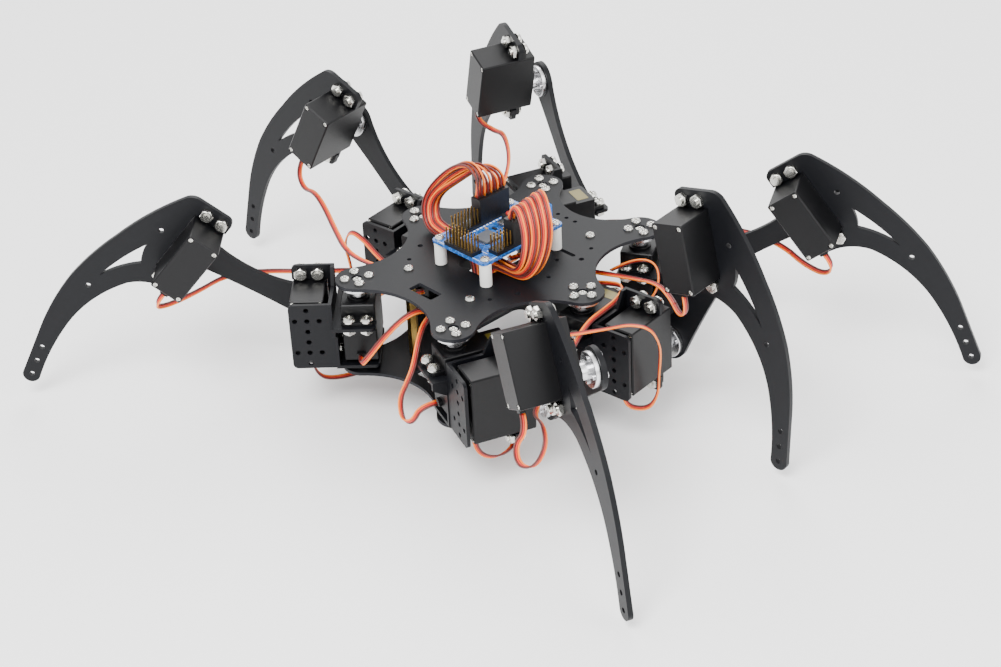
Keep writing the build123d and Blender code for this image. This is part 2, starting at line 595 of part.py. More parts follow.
def claw_plate():
    """The claw, in the knee servo's frame: x along the servo, y to the outside of the leg."""
    with BuildPart() as claw:
        with BuildSketch(Plane.XY.offset(ear_bottom - CLAW_THICKNESS)):
            with BuildLine():
                ThreePointArc((40.6, 12.5), (39.4, 17.3), (35.6, 20.8))
                ThreePointArc((35.6, 20.8), (15.0, 30.6), (-9.4, 38.3))
                ThreePointArc((-9.4, 38.3), (-27.0, 42.5), (-47.0, 44.9))
                ThreePointArc((-47.0, 44.9), (-66.0, 44.1), (-86.0, 40.9))
                Line((-86.0, 40.9), (-120.0, 32.4))
                ThreePointArc((-120.0, 32.4), (-124.6, 26.0), (-118.1, 22.2))
                ThreePointArc((-118.1, 22.2), (-98.0, 26.9), (-78.0, 28.9))
                ThreePointArc((-78.0, 28.9), (-53.0, 26.2), (-31.0, 16.4))
                ThreePointArc((-31.0, 16.4), (-24.2, 8.6), (-20.4, -1.0))
                Line((-20.4, -1.0), (-19.6, -7.4))
                ThreePointArc((-19.6, -7.4), (-18.6, -9.5), (-16.6, -10.3))
                Line((-16.6, -10.3), (window_start, -10.3))
                Polyline(
                    (window_start, -10.3),
                    (window_start, window_half),
                    (window_end, window_half),
                    (window_end, -10.3),
                    (36.6, -10.3),
                )
                ThreePointArc((36.6, -10.3), (39.5, -9.1), (40.8, -6.2))
                Line((40.8, -6.2), (40.6, 12.5))
            make_face()
            with BuildLine():
                ThreePointArc((-37.0, 32.0), (-19.2, 27.9), (-2.2, 21.3))
                ThreePointArc((-2.2, 21.3), (-8.2, 20.5), (-15.0, 17.3))
                ThreePointArc((-15.0, 17.3), (-24.9, 25.6), (-37.0, 32.0))
            make_face(mode=Mode.SUBTRACT)
            with Locations(*ear_holes):
                Circle(EAR_HOLE / 2, mode=Mode.SUBTRACT)
            with Locations((10.2, 19.8), (-46.5, 33.3), (-99.5, 32.2), (-109.4, 29.6), (-119.1, 27.1)):
                Circle(CLAW_HOLE / 2, mode=Mode.SUBTRACT)
        extrude(amount=CLAW_THICKNESS)
    return claw.part


def horn_turn(place):
    """The angle of the first horn screw in the deck: one value for the corners, one for the middles."""
    return MIDDLE_HORN_TURN if place[1] == 0 else CORNER_HORN_TURN


def post():
    """A brass hexagon standoff between the decks, threaded at both ends, standing on z = 0."""
    with BuildPart() as brass:
        with BuildSketch():
            RegularPolygon(POST_HEX / 2, 6, major_radius=False)
            Circle(M3 / 2 + THREAD_FIT, mode=Mode.SUBTRACT)
        extrude(amount=post_length)
    return brass.part


def nylon_post():
    """A round nylon standoff under the controller board."""
    with BuildPart() as nylon:
        with BuildSketch():
            Circle(NYLON_DIAMETER / 2)
            Circle(M3 / 2 + THREAD_FIT, mode=Mode.SUBTRACT)
        extrude(amount=NYLON_HEIGHT)
        chamfer(nylon.edges().filter_by(GeomType.CIRCLE).filter_by(lambda e: e.radius > M3), 0.3)
    return nylon.part


def hip_bearing():
    """The flanged bush, the bolt and the flanged nut that carry a hip bracket on the lower deck."""
    hub_top = hip_case_z - BACK_GAP + BEARING_GAP
    with BuildPart() as bush:
        with BuildSketch(Plane.XY.offset(lower_deck_bottom)):
            Circle(BEARING_HOLE / 2 - BEARING_CLEARANCE)
        extrude(amount=hub_top - lower_deck_bottom)
        with BuildSketch(Plane.XY.offset(lower_deck_top)):
            Circle(BEARING_FLANGE / 2)
        extrude(amount=BEARING_FLANGE_HEIGHT)
        with BuildSketch(Plane.XY.offset(lower_deck_bottom)):
            Circle(M3 / 2 + THREAD_FIT)
        extrude(amount=hub_top - lower_deck_bottom, mode=Mode.SUBTRACT)
    washer, washer_height, nut_height = BEARING_NUT
    with BuildPart() as nut:
        with BuildSketch(Plane.XY.offset(hub_top)):
            Circle(washer / 2)
        extrude(amount=washer_height)
        with BuildSketch(Plane.XY.offset(hub_top + washer_height)):
            RegularPolygon(M3_NUT_ACROSS / 2, 6, major_radius=False)
        extrude(amount=nut_height)
        with BuildSketch(Plane.XY.offset(hub_top)):
            Circle(M3 / 2 + THREAD_FIT)
        extrude(amount=washer_height + nut_height, mode=Mode.SUBTRACT)
    length = hub_top + washer_height + nut_height - lower_deck_bottom
    bolt = pan_screw(M3, M3_HEAD, M3_HEAD_HEIGHT, length)
    return [bush.part, nut.part, bolt.moved(Location((0, 0, lower_deck_bottom), (180, 0, 0)))]


def controller_board():
    """The controller's circuit board, drilled for its four screws."""
    with BuildPart() as board:
        with BuildSketch(Plane.XY.offset(board_bottom)):
            with Locations(BOARD_CENTRE):
                RectangleRounded(*BOARD_SIZE, BOARD_CORNER)
            with Locations(*board_places):
                Circle(M3_CLEAR / 2, mode=Mode.SUBTRACT)
        extrude(amount=BOARD_THICKNESS)
    return board.part


def header(columns, start, along_y):
    """A three-row header strip with its square pins; start is the first column's middle pin."""
    x0, y0 = start
    rows = [-1, 0, 1]
    if along_y:
        places = [(x0 + r * PIN_PITCH, y0 + c * PIN_PITCH) for c in range(columns) for r in rows]
        size = (3 * PIN_PITCH, columns * PIN_PITCH)
        centre = (x0, y0 + (columns - 1) * PIN_PITCH / 2)
    else:
        places = [(x0 + c * PIN_PITCH, y0 + r * PIN_PITCH) for c in range(columns) for r in rows]
        size = (columns * PIN_PITCH, 3 * PIN_PITCH)
        centre = (x0 + (columns - 1) * PIN_PITCH / 2, y0)
    with BuildPart() as strip:
        with BuildSketch(Plane.XY.offset(board_top)):
            with Locations(centre):
                Rectangle(*size)
        extrude(amount=STRIP_HEIGHT)
        with BuildSketch(Plane.XY.offset(strip_top)):
            with Locations(*places):
                Rectangle(PIN_WIDTH, PIN_WIDTH)
        extrude(amount=PIN_TOP)
    return strip.part


def plug_row(count, x, first):
    """A row of three-way lead plugs on a long header, each with its three pin sockets."""
    with BuildPart() as plug:
        with BuildSketch(Plane.XY.offset(strip_top)):
            Rectangle(3 * PIN_PITCH, PIN_PITCH - PLUG_FIT)
        extrude(amount=PLUG_HEIGHT)
        with BuildSketch(Plane.XY.offset(strip_top)):
            with GridLocations(PIN_PITCH, 1, 3, 1):
                Rectangle(PLUG_SOCKET, PLUG_SOCKET)
        extrude(amount=PIN_TOP + PLUG_SOCKET, mode=Mode.SUBTRACT)
    return [plug.part.moved(Location((x, long_start + (first + i) * PIN_PITCH, 0))) for i in range(count)]


def terminal_block():
    """The two-way screw terminal at the front of the board."""
    width, depth, height = TERMINAL
    front = BOARD_CENTRE[1] + BOARD_SIZE[1] / 2
    pole = width / 2
    with BuildPart() as block:
        with BuildSketch(Plane.XY.offset(board_top)):
            with Locations((BOARD_CENTRE[0] + TERMINAL_X, front - depth / 2)):
                Rectangle(width, depth)
        extrude(amount=height)
        chamfer(block.faces().sort_by(Axis.Z)[-1].edges().filter_by(Axis.X), 1.4)
        with BuildSketch(Plane.XY.offset(board_top + height)):
            with Locations((BOARD_CENTRE[0] + TERMINAL_X, front - depth / 2)):
                with GridLocations(pole, 1, 2, 1):
                    Circle(pole * 0.27)
        extrude(amount=-height * 0.35, mode=Mode.SUBTRACT)
        with BuildSketch(Plane.XZ.offset(-front)):
            with Locations((BOARD_CENTRE[0] + TERMINAL_X, board_top + height * 0.3)):
                with GridLocations(pole, 1, 2, 1):
                    Rectangle(pole * 0.6, height * 0.4)
        extrude(amount=depth * 0.5, mode=Mode.SUBTRACT)
    return block.part


def lead(corners):
    """A servo lead as a round tube along straight runs, with an arc as large as the runs allow."""
    points = [Vector(*corner) for corner in corners]
    radii = []
    for before, corner, after in zip(points, points[1:], points[2:]):
        arriving = corner - before
        leaving = after - corner
        half_turn = radians(arriving.get_angle(leaving)) / 2
        radii.append(CORNER_SHARE * min(arriving.length, leaving.length) / tan(half_turn))
    with BuildPart() as tube:
        with BuildLine() as route:
            FilletPolyline(*points, radius=radii)
        with BuildSketch(Plane(origin=points[0], z_dir=points[1] - points[0])):
            Circle(LEAD_DIAMETER / 2)
        sweep(path=route.wires()[0])
    section = pi * LEAD_DIAMETER**2 / 4
    length = route.wires()[0].length
    filled = tube.part.volume / (section * length)
    print(f"lead {length:.0f} mm, tightest bend {min(radii):.1f} mm, volume / (section x length) {filled:.3f}")
    return tube.part


def bundle(rows):
    """Nine leads that leave their plugs side by side and gather three by three."""
    strands = []
    for row in (-1, 0, 1):
        for column in (-1, 0, 1):
            corners = [Vector(*a) + Vector(*b) * row + Vector(*c) * column for a, b, c in rows]
            strands.append(lead(corners))
    return strands


def servo_place(frame_plane, pieces):
    """Pieces made in a servo's frame, put on that servo's plane in the leg."""
    return [piece.moved(frame_plane.location) for piece in pieces]


def ear_fasteners(seat):
    """Four bolts with nuts through the servo's ears and a seat plate of the given thickness."""
    nut_z = ear_bottom - seat - NUT_HEIGHT
    length = ear_top - nut_z + 1.2
    bolt = pan_screw(M4, M4_HEAD, M4_HEAD_HEIGHT, length)
    nut = hex_nut(NUT_ACROSS, NUT_HEIGHT, M4 + 2 * THREAD_FIT)
    bolts = [bolt.moved(Location((x, y, ear_top))) for x, y in ear_holes]
    nuts = [nut.moved(Location((x, y, nut_z))) for x, y in ear_holes]
    return bolts + nuts


def case_fasteners():
    """The four small screws in the servo's bottom cover."""
    screw = pan_screw(CASE_SCREW, CASE_SCREW_HEAD, CASE_SCREW_HEAD_HEIGHT, 4.0)
    return [screw.moved(Location((x, y, CASE_SCREW_HEAD_HEIGHT), (180, 0, 0))) for x, y in case_screws]


def horn_fasteners(turn, seat):
    """The screws through a seat plate into the horn, and the central screw into the shaft."""
    around = pan_screw(M3, M3_HEAD, M3_HEAD_HEIGHT, seat + HORN_THICKNESS + 1.0)
    centre = pan_screw(M3, M3_HEAD, M3_HEAD_HEIGHT, HORN_FACE_Z - shaft_top_z + 5.0)
    screws = [centre.moved(Location((0, 0, HORN_FACE_Z)))]
    for i in range(HORN_SCREWS):
        angle = radians(turn + 360 / HORN_SCREWS * i)
        x = HORN_SCREW_CIRCLE / 2 * cos(angle)
        y = HORN_SCREW_CIRCLE / 2 * sin(angle)
        screws.append(around.moved(Location((x, y, HORN_FACE_Z + seat))))
    return screws


def wall_fasteners():
    """The four bolts and nuts that join the two brackets' side walls, in the leg frame."""
    bolt = pan_screw(M3, M3_HEAD, M3_HEAD_HEIGHT, 2 * SHEET + M3_NUT_HEIGHT + 0.2)
    nut = hex_nut(M3_NUT_ACROSS, M3_NUT_HEIGHT, M3 + 2 * THREAD_FIT)
    pieces = []
    for along, level in wall_bolts(True):
        z = level + hip_case_z
        pieces.append(bolt.moved(Location((WALL_TO_AXIS - SHEET, along, z), (0, -90, 0))))
        pieces.append(nut.moved(Location((WALL_TO_AXIS + SHEET, along, z), (0, 90, 0))))
    return pieces


def leg_nodes(thigh, knee):
    """Every node of one right-hand leg: x runs outward, y is the servo shafts' direction, z is up."""
    hip_plane = Plane((0, 0, hip_case_z), x_dir=(0, 1, 0), z_dir=(0, 0, 1))
    thigh_origin = (thigh_axis_x, SERVO_BACK, THIGH_AXIS_Z)
    thigh_plane = Plane(thigh_origin, x_dir=(0, 0, 1), z_dir=(0, 1, 0))
    slope = radians(thigh)
    tilt = radians(knee)
    link_plane = Plane(thigh_origin, x_dir=(cos(slope), 0, sin(slope)), z_dir=(0, 1, 0))
    knee_origin = (
        thigh_axis_x + LINK_LENGTH * cos(slope),
        SERVO_BACK,
        THIGH_AXIS_Z + LINK_LENGTH * sin(slope),
    )
    knee_plane = Plane(knee_origin, x_dir=(cos(tilt), 0, sin(tilt)), z_dir=(0, 1, 0))
    far_horn_plane = Plane(knee_origin, x_dir=(cos(slope), 0, sin(slope)), z_dir=(0, 1, 0))
    shells = servo_shells()
    horn = horn_and_shaft(LINK_HORN_TURN) + horn_fasteners(LINK_HORN_TURN, LINK_THICKNESS)
    return {
        "hip_brackets": servo_place(hip_plane, [bracket(True)]) + servo_place(thigh_plane, [bracket(False)]),
        "hip_servos": servo_place(hip_plane, shells) + servo_place(thigh_plane, shells),
        "hip_screws": servo_place(hip_plane, ear_fasteners(SHEET) + case_fasteners())
        + servo_place(thigh_plane, ear_fasteners(SHEET) + case_fasteners())
        + wall_fasteners(),
        "thigh_link": servo_place(link_plane, [link_plate()]),
        "thigh_horns": servo_place(link_plane, horn) + servo_place(far_horn_plane, horn),
        "claw": servo_place(knee_plane, [claw_plate()]),
        "knee_servo": servo_place(knee_plane, shells),
        "claw_screws": servo_place(knee_plane, ear_fasteners(CLAW_THICKNESS) + case_fasteners()),
    }


def at_hip(piece, side, place, yaw):
    """A leg piece put at its hip, mirrored first on the left side."""
    if side < 0:
        piece = piece.mirror(Plane.XZ)
    return piece.moved(Location((*place, 0), (0, 0, yaw)))


def save(name, solids):
    """Writes one node's solids as a labelled STEP file."""
    node = Compound(label=name, children=list(solids))
    export_step(node, f"parts/{name}.step")


os.makedirs("parts", exist_ok=True)

upper = deck_plate(True).moved(Location((0, 0, plate_bottom)))
lower = deck_plate(False).moved(Location((0, 0, lower_deck_bottom)))
save("top_plate", upper.solids())
save("bottom_plate", lower.solids())
save("plate_standoffs", [post().moved(Location((x, y, lower_deck_top))) for x, y in post_places])
save("board_standoffs", [nylon_post().moved(Location((x, y, 0))) for x, y in board_places])
save("controller_board", controller_board().solids())
save("terminal_block", terminal_block().solids())

headers = [
    header(LONG_COLUMNS, (board_left, long_start), True),
    header(LONG_COLUMNS, (board_right, long_start), True),
    header(SHORT_COLUMNS, (BOARD_CENTRE[0] - PIN_PITCH * (SHORT_COLUMNS - 1) / 2, board_back), False),
]
save("pin_headers", headers)
left_plugs = plug_row(LEFT_PLUGS, board_left, LONG_COLUMNS - LEFT_PLUGS)
right_plugs = plug_row(RIGHT_PLUGS, board_right, RIGHT_FIRST)
save("lead_plugs", left_plugs + right_plugs)

deck_screw = pan_screw(M3, M3_HEAD, M3_HEAD_HEIGHT, PLATE_THICKNESS + DECK_SCREW_GRIP)
board_screw = pan_screw(M3, M3_HEAD, M3_HEAD_HEIGHT, BOARD_THICKNESS + DECK_SCREW_GRIP)
screws = [deck_screw.moved(Location((x, y, 0))) for x, y in post_places]
screws += [deck_screw.moved(Location((x, y, lower_deck_bottom), (180, 0, 0))) for x, y in post_places]
screws += [deck_screw.moved(Location((x, y, plate_bottom), (180, 0, 0))) for x, y in board_places]
screws += [board_screw.moved(Location((x, y, board_top))) for x, y in board_places]
horns = []
bearings = []
bearing = hip_bearing()
for place in hip_places:
    turn = horn_turn(place)
    horn_at = Location((*place, hip_case_z))
    horns += [piece.moved(horn_at) for piece in horn_and_shaft(turn)]
    screws += [piece.moved(horn_at) for piece in horn_fasteners(turn, PLATE_THICKNESS)]
    bearings += [piece.moved(Location((*place, 0))) for piece in bearing]
save("deck_screws", screws)
save("hip_horns", horns)
save("pivot_bearings", bearings)
leads = [lead(route) for route in LEAD_ROUTES.values()]
save("servo_leads", leads + bundle(LEFT_BUNDLE) + bundle(RIGHT_BUNDLE))

for leg, (side, place, yaw, thigh, knee) in LEGS.items():
    for node, pieces in leg_nodes(thigh, knee).items():
        save(f"{leg}_{node}", [at_hip(piece, side, place, yaw) for piece in pieces])
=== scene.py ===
"""Looks for a six-legged walking robot: finishes for its metal, plastic and board, its servo leads and its labels."""

from math import cos, radians, sin

import bmesh
import bpy
import numpy as np
from bpy.props import FloatProperty, FloatVectorProperty, PointerProperty
from mathutils import Matrix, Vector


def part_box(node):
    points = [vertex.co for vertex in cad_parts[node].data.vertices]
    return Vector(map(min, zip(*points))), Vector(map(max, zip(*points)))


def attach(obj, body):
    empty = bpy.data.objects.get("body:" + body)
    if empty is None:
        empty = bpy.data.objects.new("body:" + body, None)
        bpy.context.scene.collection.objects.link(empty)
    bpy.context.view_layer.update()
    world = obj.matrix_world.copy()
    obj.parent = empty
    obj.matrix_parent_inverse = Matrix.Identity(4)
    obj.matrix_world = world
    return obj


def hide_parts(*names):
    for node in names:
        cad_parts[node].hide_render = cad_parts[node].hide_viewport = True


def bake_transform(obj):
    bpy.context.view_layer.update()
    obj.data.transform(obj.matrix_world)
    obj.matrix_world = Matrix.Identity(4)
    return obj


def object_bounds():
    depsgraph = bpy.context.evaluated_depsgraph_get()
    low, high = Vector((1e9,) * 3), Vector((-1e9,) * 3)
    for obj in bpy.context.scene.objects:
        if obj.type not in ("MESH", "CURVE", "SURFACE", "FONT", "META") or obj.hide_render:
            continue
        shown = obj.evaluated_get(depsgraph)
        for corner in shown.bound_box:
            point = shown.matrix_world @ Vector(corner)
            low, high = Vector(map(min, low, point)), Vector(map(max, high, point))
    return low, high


bl_info = {
    "name": "Six-legged robot looks",
    "version": (1, 0, 0),
    "blender": (4, 5, 0),
    "location": "3D View > Sidebar > Robot",
    "description": "Finishes, servo leads, board parts and labels for a six-legged walking robot",
    "category": "Object",
}

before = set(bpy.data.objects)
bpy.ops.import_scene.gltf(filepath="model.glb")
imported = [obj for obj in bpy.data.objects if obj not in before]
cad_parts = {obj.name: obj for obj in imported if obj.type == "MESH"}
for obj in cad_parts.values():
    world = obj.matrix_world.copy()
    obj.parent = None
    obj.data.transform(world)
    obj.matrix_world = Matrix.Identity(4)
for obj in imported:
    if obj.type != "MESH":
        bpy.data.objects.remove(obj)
cad_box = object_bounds()

MM = 0.001
LEGS = ["rear_left", "middle_left", "front_left", "rear_right", "middle_right", "front_right"]

# Hip place, and the yaw of each leg in degrees; side is +1 on the right
HIPS = {
    "rear_left": (-1, (-40.1, -74.4), 224.8),
    "middle_left": (-1, (-66.0, 0.0), 187.8),
    "front_left": (-1, (-40.1, 74.4), 160.7),
    "rear_right": (1, (40.1, -74.4), 339.1),
    "middle_right": (1, (66.0, 0.0), 6.4),
    "front_right": (1, (40.1, 74.4), 30.0),
}

# Two points nearer than this, in metres, are the same point
SAME_PLACE = 1e-7
# Sides of a wire, and the gap from one wire's middle to the next as a share of its diameter
WIRE_SIDES = 8
WIRE_SPACING = 0.97
# Most that a leg's lead twists along its way, in radians
LEAD_TWIST = 0.5
# Shares of a knee lead's points at which it passes from claw to thigh and from thigh to hip bracket
KNEE_CUTS = (0.36, 0.68)
# Length in millimetres over which a bundle's lead turns from its plug's row to its slant
PLUG_TURN = 15.0
# Size of a finish's broad mottling in grains, and the least roughness that it may reach
MOTTLE_GRAINS = 14
LEAST_ROUGHNESS = 0.03
# Spacing in millimetres of the board's copper tracks, its header pins and the chip's legs
TRACK_SPACING = 3.4
HEADER_PITCH = 2.54
CHIP_PITCH = 0.8
CHIP_LEGS = 12
# Materials of the small board parts, in the order that the piece holds them
EPOXY, TIN, BLACK, LEGEND, CERAMIC, GREEN, RED = range(7)
# Side of the floor in metres, and its gap below the robot in millimetres
FLOOR_SIDE = 12
FLOOR_GAP = 0.2
WORLD_STRENGTH = 1.7

# Servo leads: the corners that each one goes round, from its servo to between the decks, in millimetres
LEAD_ROUTES = {
    "rear_left_knee": [
        (-116.9, -154.3, -5.5), (-121.8, -159.1, -13.6), (-127.0, -147.0, -21.0),
        (-125.0, -126.0, -20.0), (-132.0, -99.0, -23.0), (-126.0, -76.0, -28.0),
        (-106.0, -57.0, -29.0), (-84.0, -42.0, -26.0), (-62.0, -32.0, -24.0), (-44.0, -26.0, -24.0),
    ],
    "rear_left_thigh": [
        (-59.2, -97.0, -53.9), (-58.5, -96.0, -63.9), (-52.0, -85.0, -68.0), (-42.0, -66.0, -65.0),
        (-32.0, -46.0, -64.0), (-17.0, -27.0, -65.0), (-11.0, -18.0, -57.0), (-9.0, -14.0, -46.0),
    ],
    "rear_left_hip": [
        (-31.3, -83.3, -45.0), (-24.9, -89.7, -45.0), (-17.0, -91.0, -37.0), (-11.0, -82.0, -24.0),
        (-5.0, -71.0, -13.0), (-1.0, -60.0, -11.0), (-2.0, -51.0, -22.0), (-8.0, -44.0, -34.0),
    ],
    "middle_left_knee": [
        (-158.2, -15.2, 11.1), (-162.8, -15.9, 2.0), (-153.0, -20.0, -5.0), (-135.0, -26.0, 2.0),
        (-115.0, -35.0, 3.0), (-95.0, -44.0, -2.0), (-76.0, -52.0, -6.0), (-58.0, -52.0, -7.0),
        (-43.0, -46.0, -8.0), (-28.0, -38.0, -12.0),
    ],
    "middle_left_thigh": [
        (-94.8, -6.5, -53.9), (-95.5, -8.0, -63.5), (-105.0, -15.0, -65.0), (-113.0, -20.0, -54.0),
        (-114.0, -20.0, -42.0), (-117.0, -21.0, -30.0), (-110.0, -21.0, -17.0), (-95.0, -22.0, -19.0),
        (-82.0, -25.0, -22.0), (-66.0, -26.0, -26.0), (-50.0, -22.0, -26.0),
    ],
    "middle_left_hip": [
        (-64.2, -12.4, -45.0), (-63.0, -22.0, -45.0), (-54.0, -27.0, -38.0), (-42.0, -24.0, -32.0),
    ],
    "front_left_knee": [
        (-125.2, 101.4, 12.2), (-128.0, 104.0, 3.0), (-118.0, 109.0, -3.0), (-101.0, 101.0, 4.0),
        (-82.0, 87.0, 4.0), (-69.0, 74.0, 2.0), (-62.0, 61.0, -5.0), (-50.0, 48.0, -8.0),
        (-36.0, 38.0, -12.0),
    ],
    "front_left_thigh": [
        (-68.7, 81.7, -53.9), (-68.7, 81.7, -63.9), (-75.0, 71.0, -68.0), (-70.0, 58.0, -56.0),
        (-58.0, 48.0, -42.0), (-44.0, 40.0, -36.0),
    ],
    "front_left_hip": [
        (-44.2, 62.6, -45.0), (-47.4, 53.6, -45.0), (-42.0, 44.0, -40.0), (-32.0, 38.0, -32.0),
    ],
    "rear_right_knee": [
        (132.6, -112.4, 4.8), (136.6, -114.0, -3.4), (131.0, -117.0, -13.0), (135.0, -119.0, -23.0),
        (145.0, -117.0, -21.0), (147.0, -110.0, -10.0), (138.0, -103.0, -4.0), (124.0, -96.0, -9.0),
        (108.0, -78.0, -18.0), (92.0, -56.0, -18.0), (77.0, -37.0, -24.0), (60.0, -31.0, -31.0),
    ],
    "rear_right_thigh": [
        (66.7, -87.3, -53.9), (67.0, -87.0, -63.9), (76.0, -80.0, -67.0), (76.0, -65.0, -65.0),
        (60.0, -54.0, -64.0), (42.0, -42.0, -64.0), (20.0, -26.0, -66.0), (12.0, -16.0, -58.0),
        (9.0, -12.0, -46.0),
    ],
    "rear_right_hip": [
        (35.7, -86.1, -45.0), (32.2, -95.4, -45.0), (29.0, -99.0, -55.0), (19.0, -98.0, -59.0),
        (13.0, -94.0, -49.0), (18.0, -91.0, -36.0), (24.0, -91.0, -24.0), (21.0, -84.0, -12.0),
        (13.0, -72.0, -9.0), (6.0, -58.0, -12.0), (4.0, -44.0, -18.0),
    ],
    "middle_right_knee": [
        (137.1, 5.4, 23.2), (139.1, 5.6, 13.8), (128.0, 12.0, 4.0), (107.0, 28.0, 0.0),
        (84.0, 42.0, -6.0), (61.0, 45.0, -13.0), (42.0, 42.0, -16.0), (26.0, 38.0, -18.0),
    ],
    "middle_right_thigh": [
        (95.5, 0.7, -53.9), (95.5, 0.7, -63.5), (106.0, 10.0, -66.0), (111.0, 13.0, -54.0),
        (112.0, 12.0, -40.0), (117.0, 8.0, -25.0), (121.0, 3.0, -12.0), (121.0, -4.0, 1.0),
        (110.0, -9.0, 1.0), (100.0, -12.0, -4.0), (90.0, -17.0, -8.0), (77.0, -26.0, -12.0),
        (62.0, -30.0, -16.0), (46.0, -30.0, -20.0),
    ],
    "middle_right_hip": [
        (67.3, -12.4, -45.0), (68.4, -22.0, -45.0), (75.0, -30.0, -36.0), (81.0, -25.0, -20.0),
        (81.0, -12.0, -8.5), (79.5, 3.0, -8.0), (76.0, 18.0, -9.0), (68.0, 32.0, -10.0),
        (54.0, 34.0, -14.0), (40.0, 30.0, -18.0),
    ],
    "front_right_knee": [
        (135.6, 126.7, -4.1), (140.5, 129.6, -12.0), (130.0, 134.0, -23.0), (112.0, 136.0, -23.0),
        (91.0, 147.0, -26.0), (66.0, 152.0, -28.0), (42.0, 142.0, -27.0), (20.0, 117.0, -23.0),
        (2.0, 98.0, -20.0), (-6.0, 78.0, -16.0), (-8.0, 60.0, -14.0),
    ],
    "front_right_thigh": [
        (66.9, 86.9, -53.9), (66.9, 86.9, -63.9), (76.0, 77.0, -66.0), (76.0, 64.0, -54.0),
        (68.0, 54.0, -42.0), (54.0, 48.0, -36.0), (40.0, 44.0, -34.0),
    ],
    "front_right_hip": [
        (46.4, 63.5, -45.0), (51.4, 54.9, -45.0), (61.0, 54.0, -37.0), (67.0, 62.0, -25.0),
        (60.0, 68.0, -13.0), (49.0, 59.0, -11.0), (38.0, 52.0, -20.0),
    ],
}

# Each row is the middle lead's point, then the step to the next row of plugs and the step to the next column.
LEFT_BUNDLE = [
    ((-12.5, 5.89, 33.0), (0.0, 7.62, 0.0), (0.0, 2.54, 0.0)),
    ((-9.5, 5.5, 43.0), (0.0, 7.5, -2.0), (0.0, 2.5, 0.0)),
    ((-20.0, 3.5, 50.0), (-0.5, 6.0, -3.2), (0.0, 2.5, 0.0)),
    ((-36.0, 0.0, 38.0), (2.2, 1.4, -3.0), (0.3, 2.5, 0.0)),
    ((-53.0, -4.0, 20.0), (3.0, 0.0, 0.6), (0.3, 2.5, 0.0)),
    ((-50.0, -8.0, 5.5), (3.0, -0.4, 2.4), (0.0, 2.5, 0.0)),
    ((-36.0, -11.0, 5.0), (0.8, -0.6, 2.6), (0.0, 2.4, 0.0)),
    ((-20.0, -12.0, 4.6), (0.4, 0.0, 2.5), (0.0, 2.4, 0.0)),
    ((-3.0, -13.0, 4.4), (2.5, 0.0, 2.5), (0.0, 2.4, 0.0)),
    ((-3.0, -13.0, -12.0), (2.5, 0.0, 0.0), (0.0, 2.4, 0.0)),
]
RIGHT_BUNDLE = [
    ((19.4, 0.81, 33.0), (0.0, 7.62, 0.0), (0.0, 2.54, 0.0)),
    ((21.5, 0.3, 43.0), (0.3, 7.2, 1.6), (0.0, 2.5, 0.0)),
    ((32.0, -4.0, 46.0), (1.6, 6.0, 2.2), (0.0, 2.5, 0.0)),
    ((42.0, -9.0, 31.0), (2.8, 5.0, 0.8), (0.0, 2.5, 0.0)),
    ((41.0, -13.0, 14.0), (3.0, 3.6, -0.4), (0.0, 2.5, 0.0)),
    ((34.0, -15.0, 5.0), (2.6, 1.6, -2.4), (0.0, 2.4, 0.0)),
    ((22.0, -15.0, 4.8), (0.0, 0.8, -2.6), (0.0, 2.4, 0.0)),
    ((7.0, -15.0, 4.8), (2.6, 0.4, -2.6), (0.0, 2.4, 0.0)),
    ((7.0, -15.0, -12.0), (2.6, 0.0, 0.0), (0.0, 2.4, 0.0)),
]


def colour(text):
    """A colour written in sRGB hex, such as 1a2b3c, as linear red, green, blue."""
    part = np.array([int(text[i : i + 2], 16) for i in (0, 2, 4)]) / 255
    return tuple(np.where(part <= 0.04045, part / 12.92, ((part + 0.055) / 1.055) ** 2.4).tolist())


def tint(name, about, text):
    """A colour property with its default from a hex colour."""
    return FloatVectorProperty(
        name=name, description=about, subtype="COLOR", size=3, min=0, max=1, default=colour(text)
    )


def length(name, about, millimetres):
    """A length property with its default in millimetres."""
    return FloatProperty(name=name, description=about, unit="LENGTH", min=0, default=millimetres * MM, precision=5)


class RobotColours(bpy.types.PropertyGroup):
    """Colours of the robot's finishes."""

    sheet: tint("Sheet", "Black anodised aluminium sheet", "090a0e")
    sheet_edge: tint("Sheet edge", "Cut edge of the anodised sheet", "1a1b20")
    case: tint("Servo case", "Black moulded servo case", "060608")
    steel: tint("Plated steel", "Bright plated screws and nuts", "d3d2cc")
    horn: tint("Horn", "Bright turned servo horn", "d8d8da")
    brass: tint("Brass", "Turned brass post", "c9a55e")
    nylon: tint("Nylon", "White nylon post", "efeeea")
    board: tint("Board", "Blue coating of the circuit board", "1b4f92")
    track: tint("Track", "Copper track under the coating", "3c74c4")
    terminal: tint("Terminal", "Blue moulded screw terminal", "1f74cf")
    pin: tint("Pin", "Gold flashed header pin", "9c7c40")
    chip: tint("Chip", "Top of the controller chip", "55585e")
    label: tint("Label", "Printed foil label on a hip servo", "61571f")
    signal_wire: tint("Signal wire", "Outer wire of a lead", "ef7a1c")
    supply_wire: tint("Supply wire", "Middle wire of a lead", "c8271a")
    ground_wire: tint("Ground wire", "Other outer wire of a lead", "5c2320")
    floor: tint("Floor", "Pale floor", "ffffff")


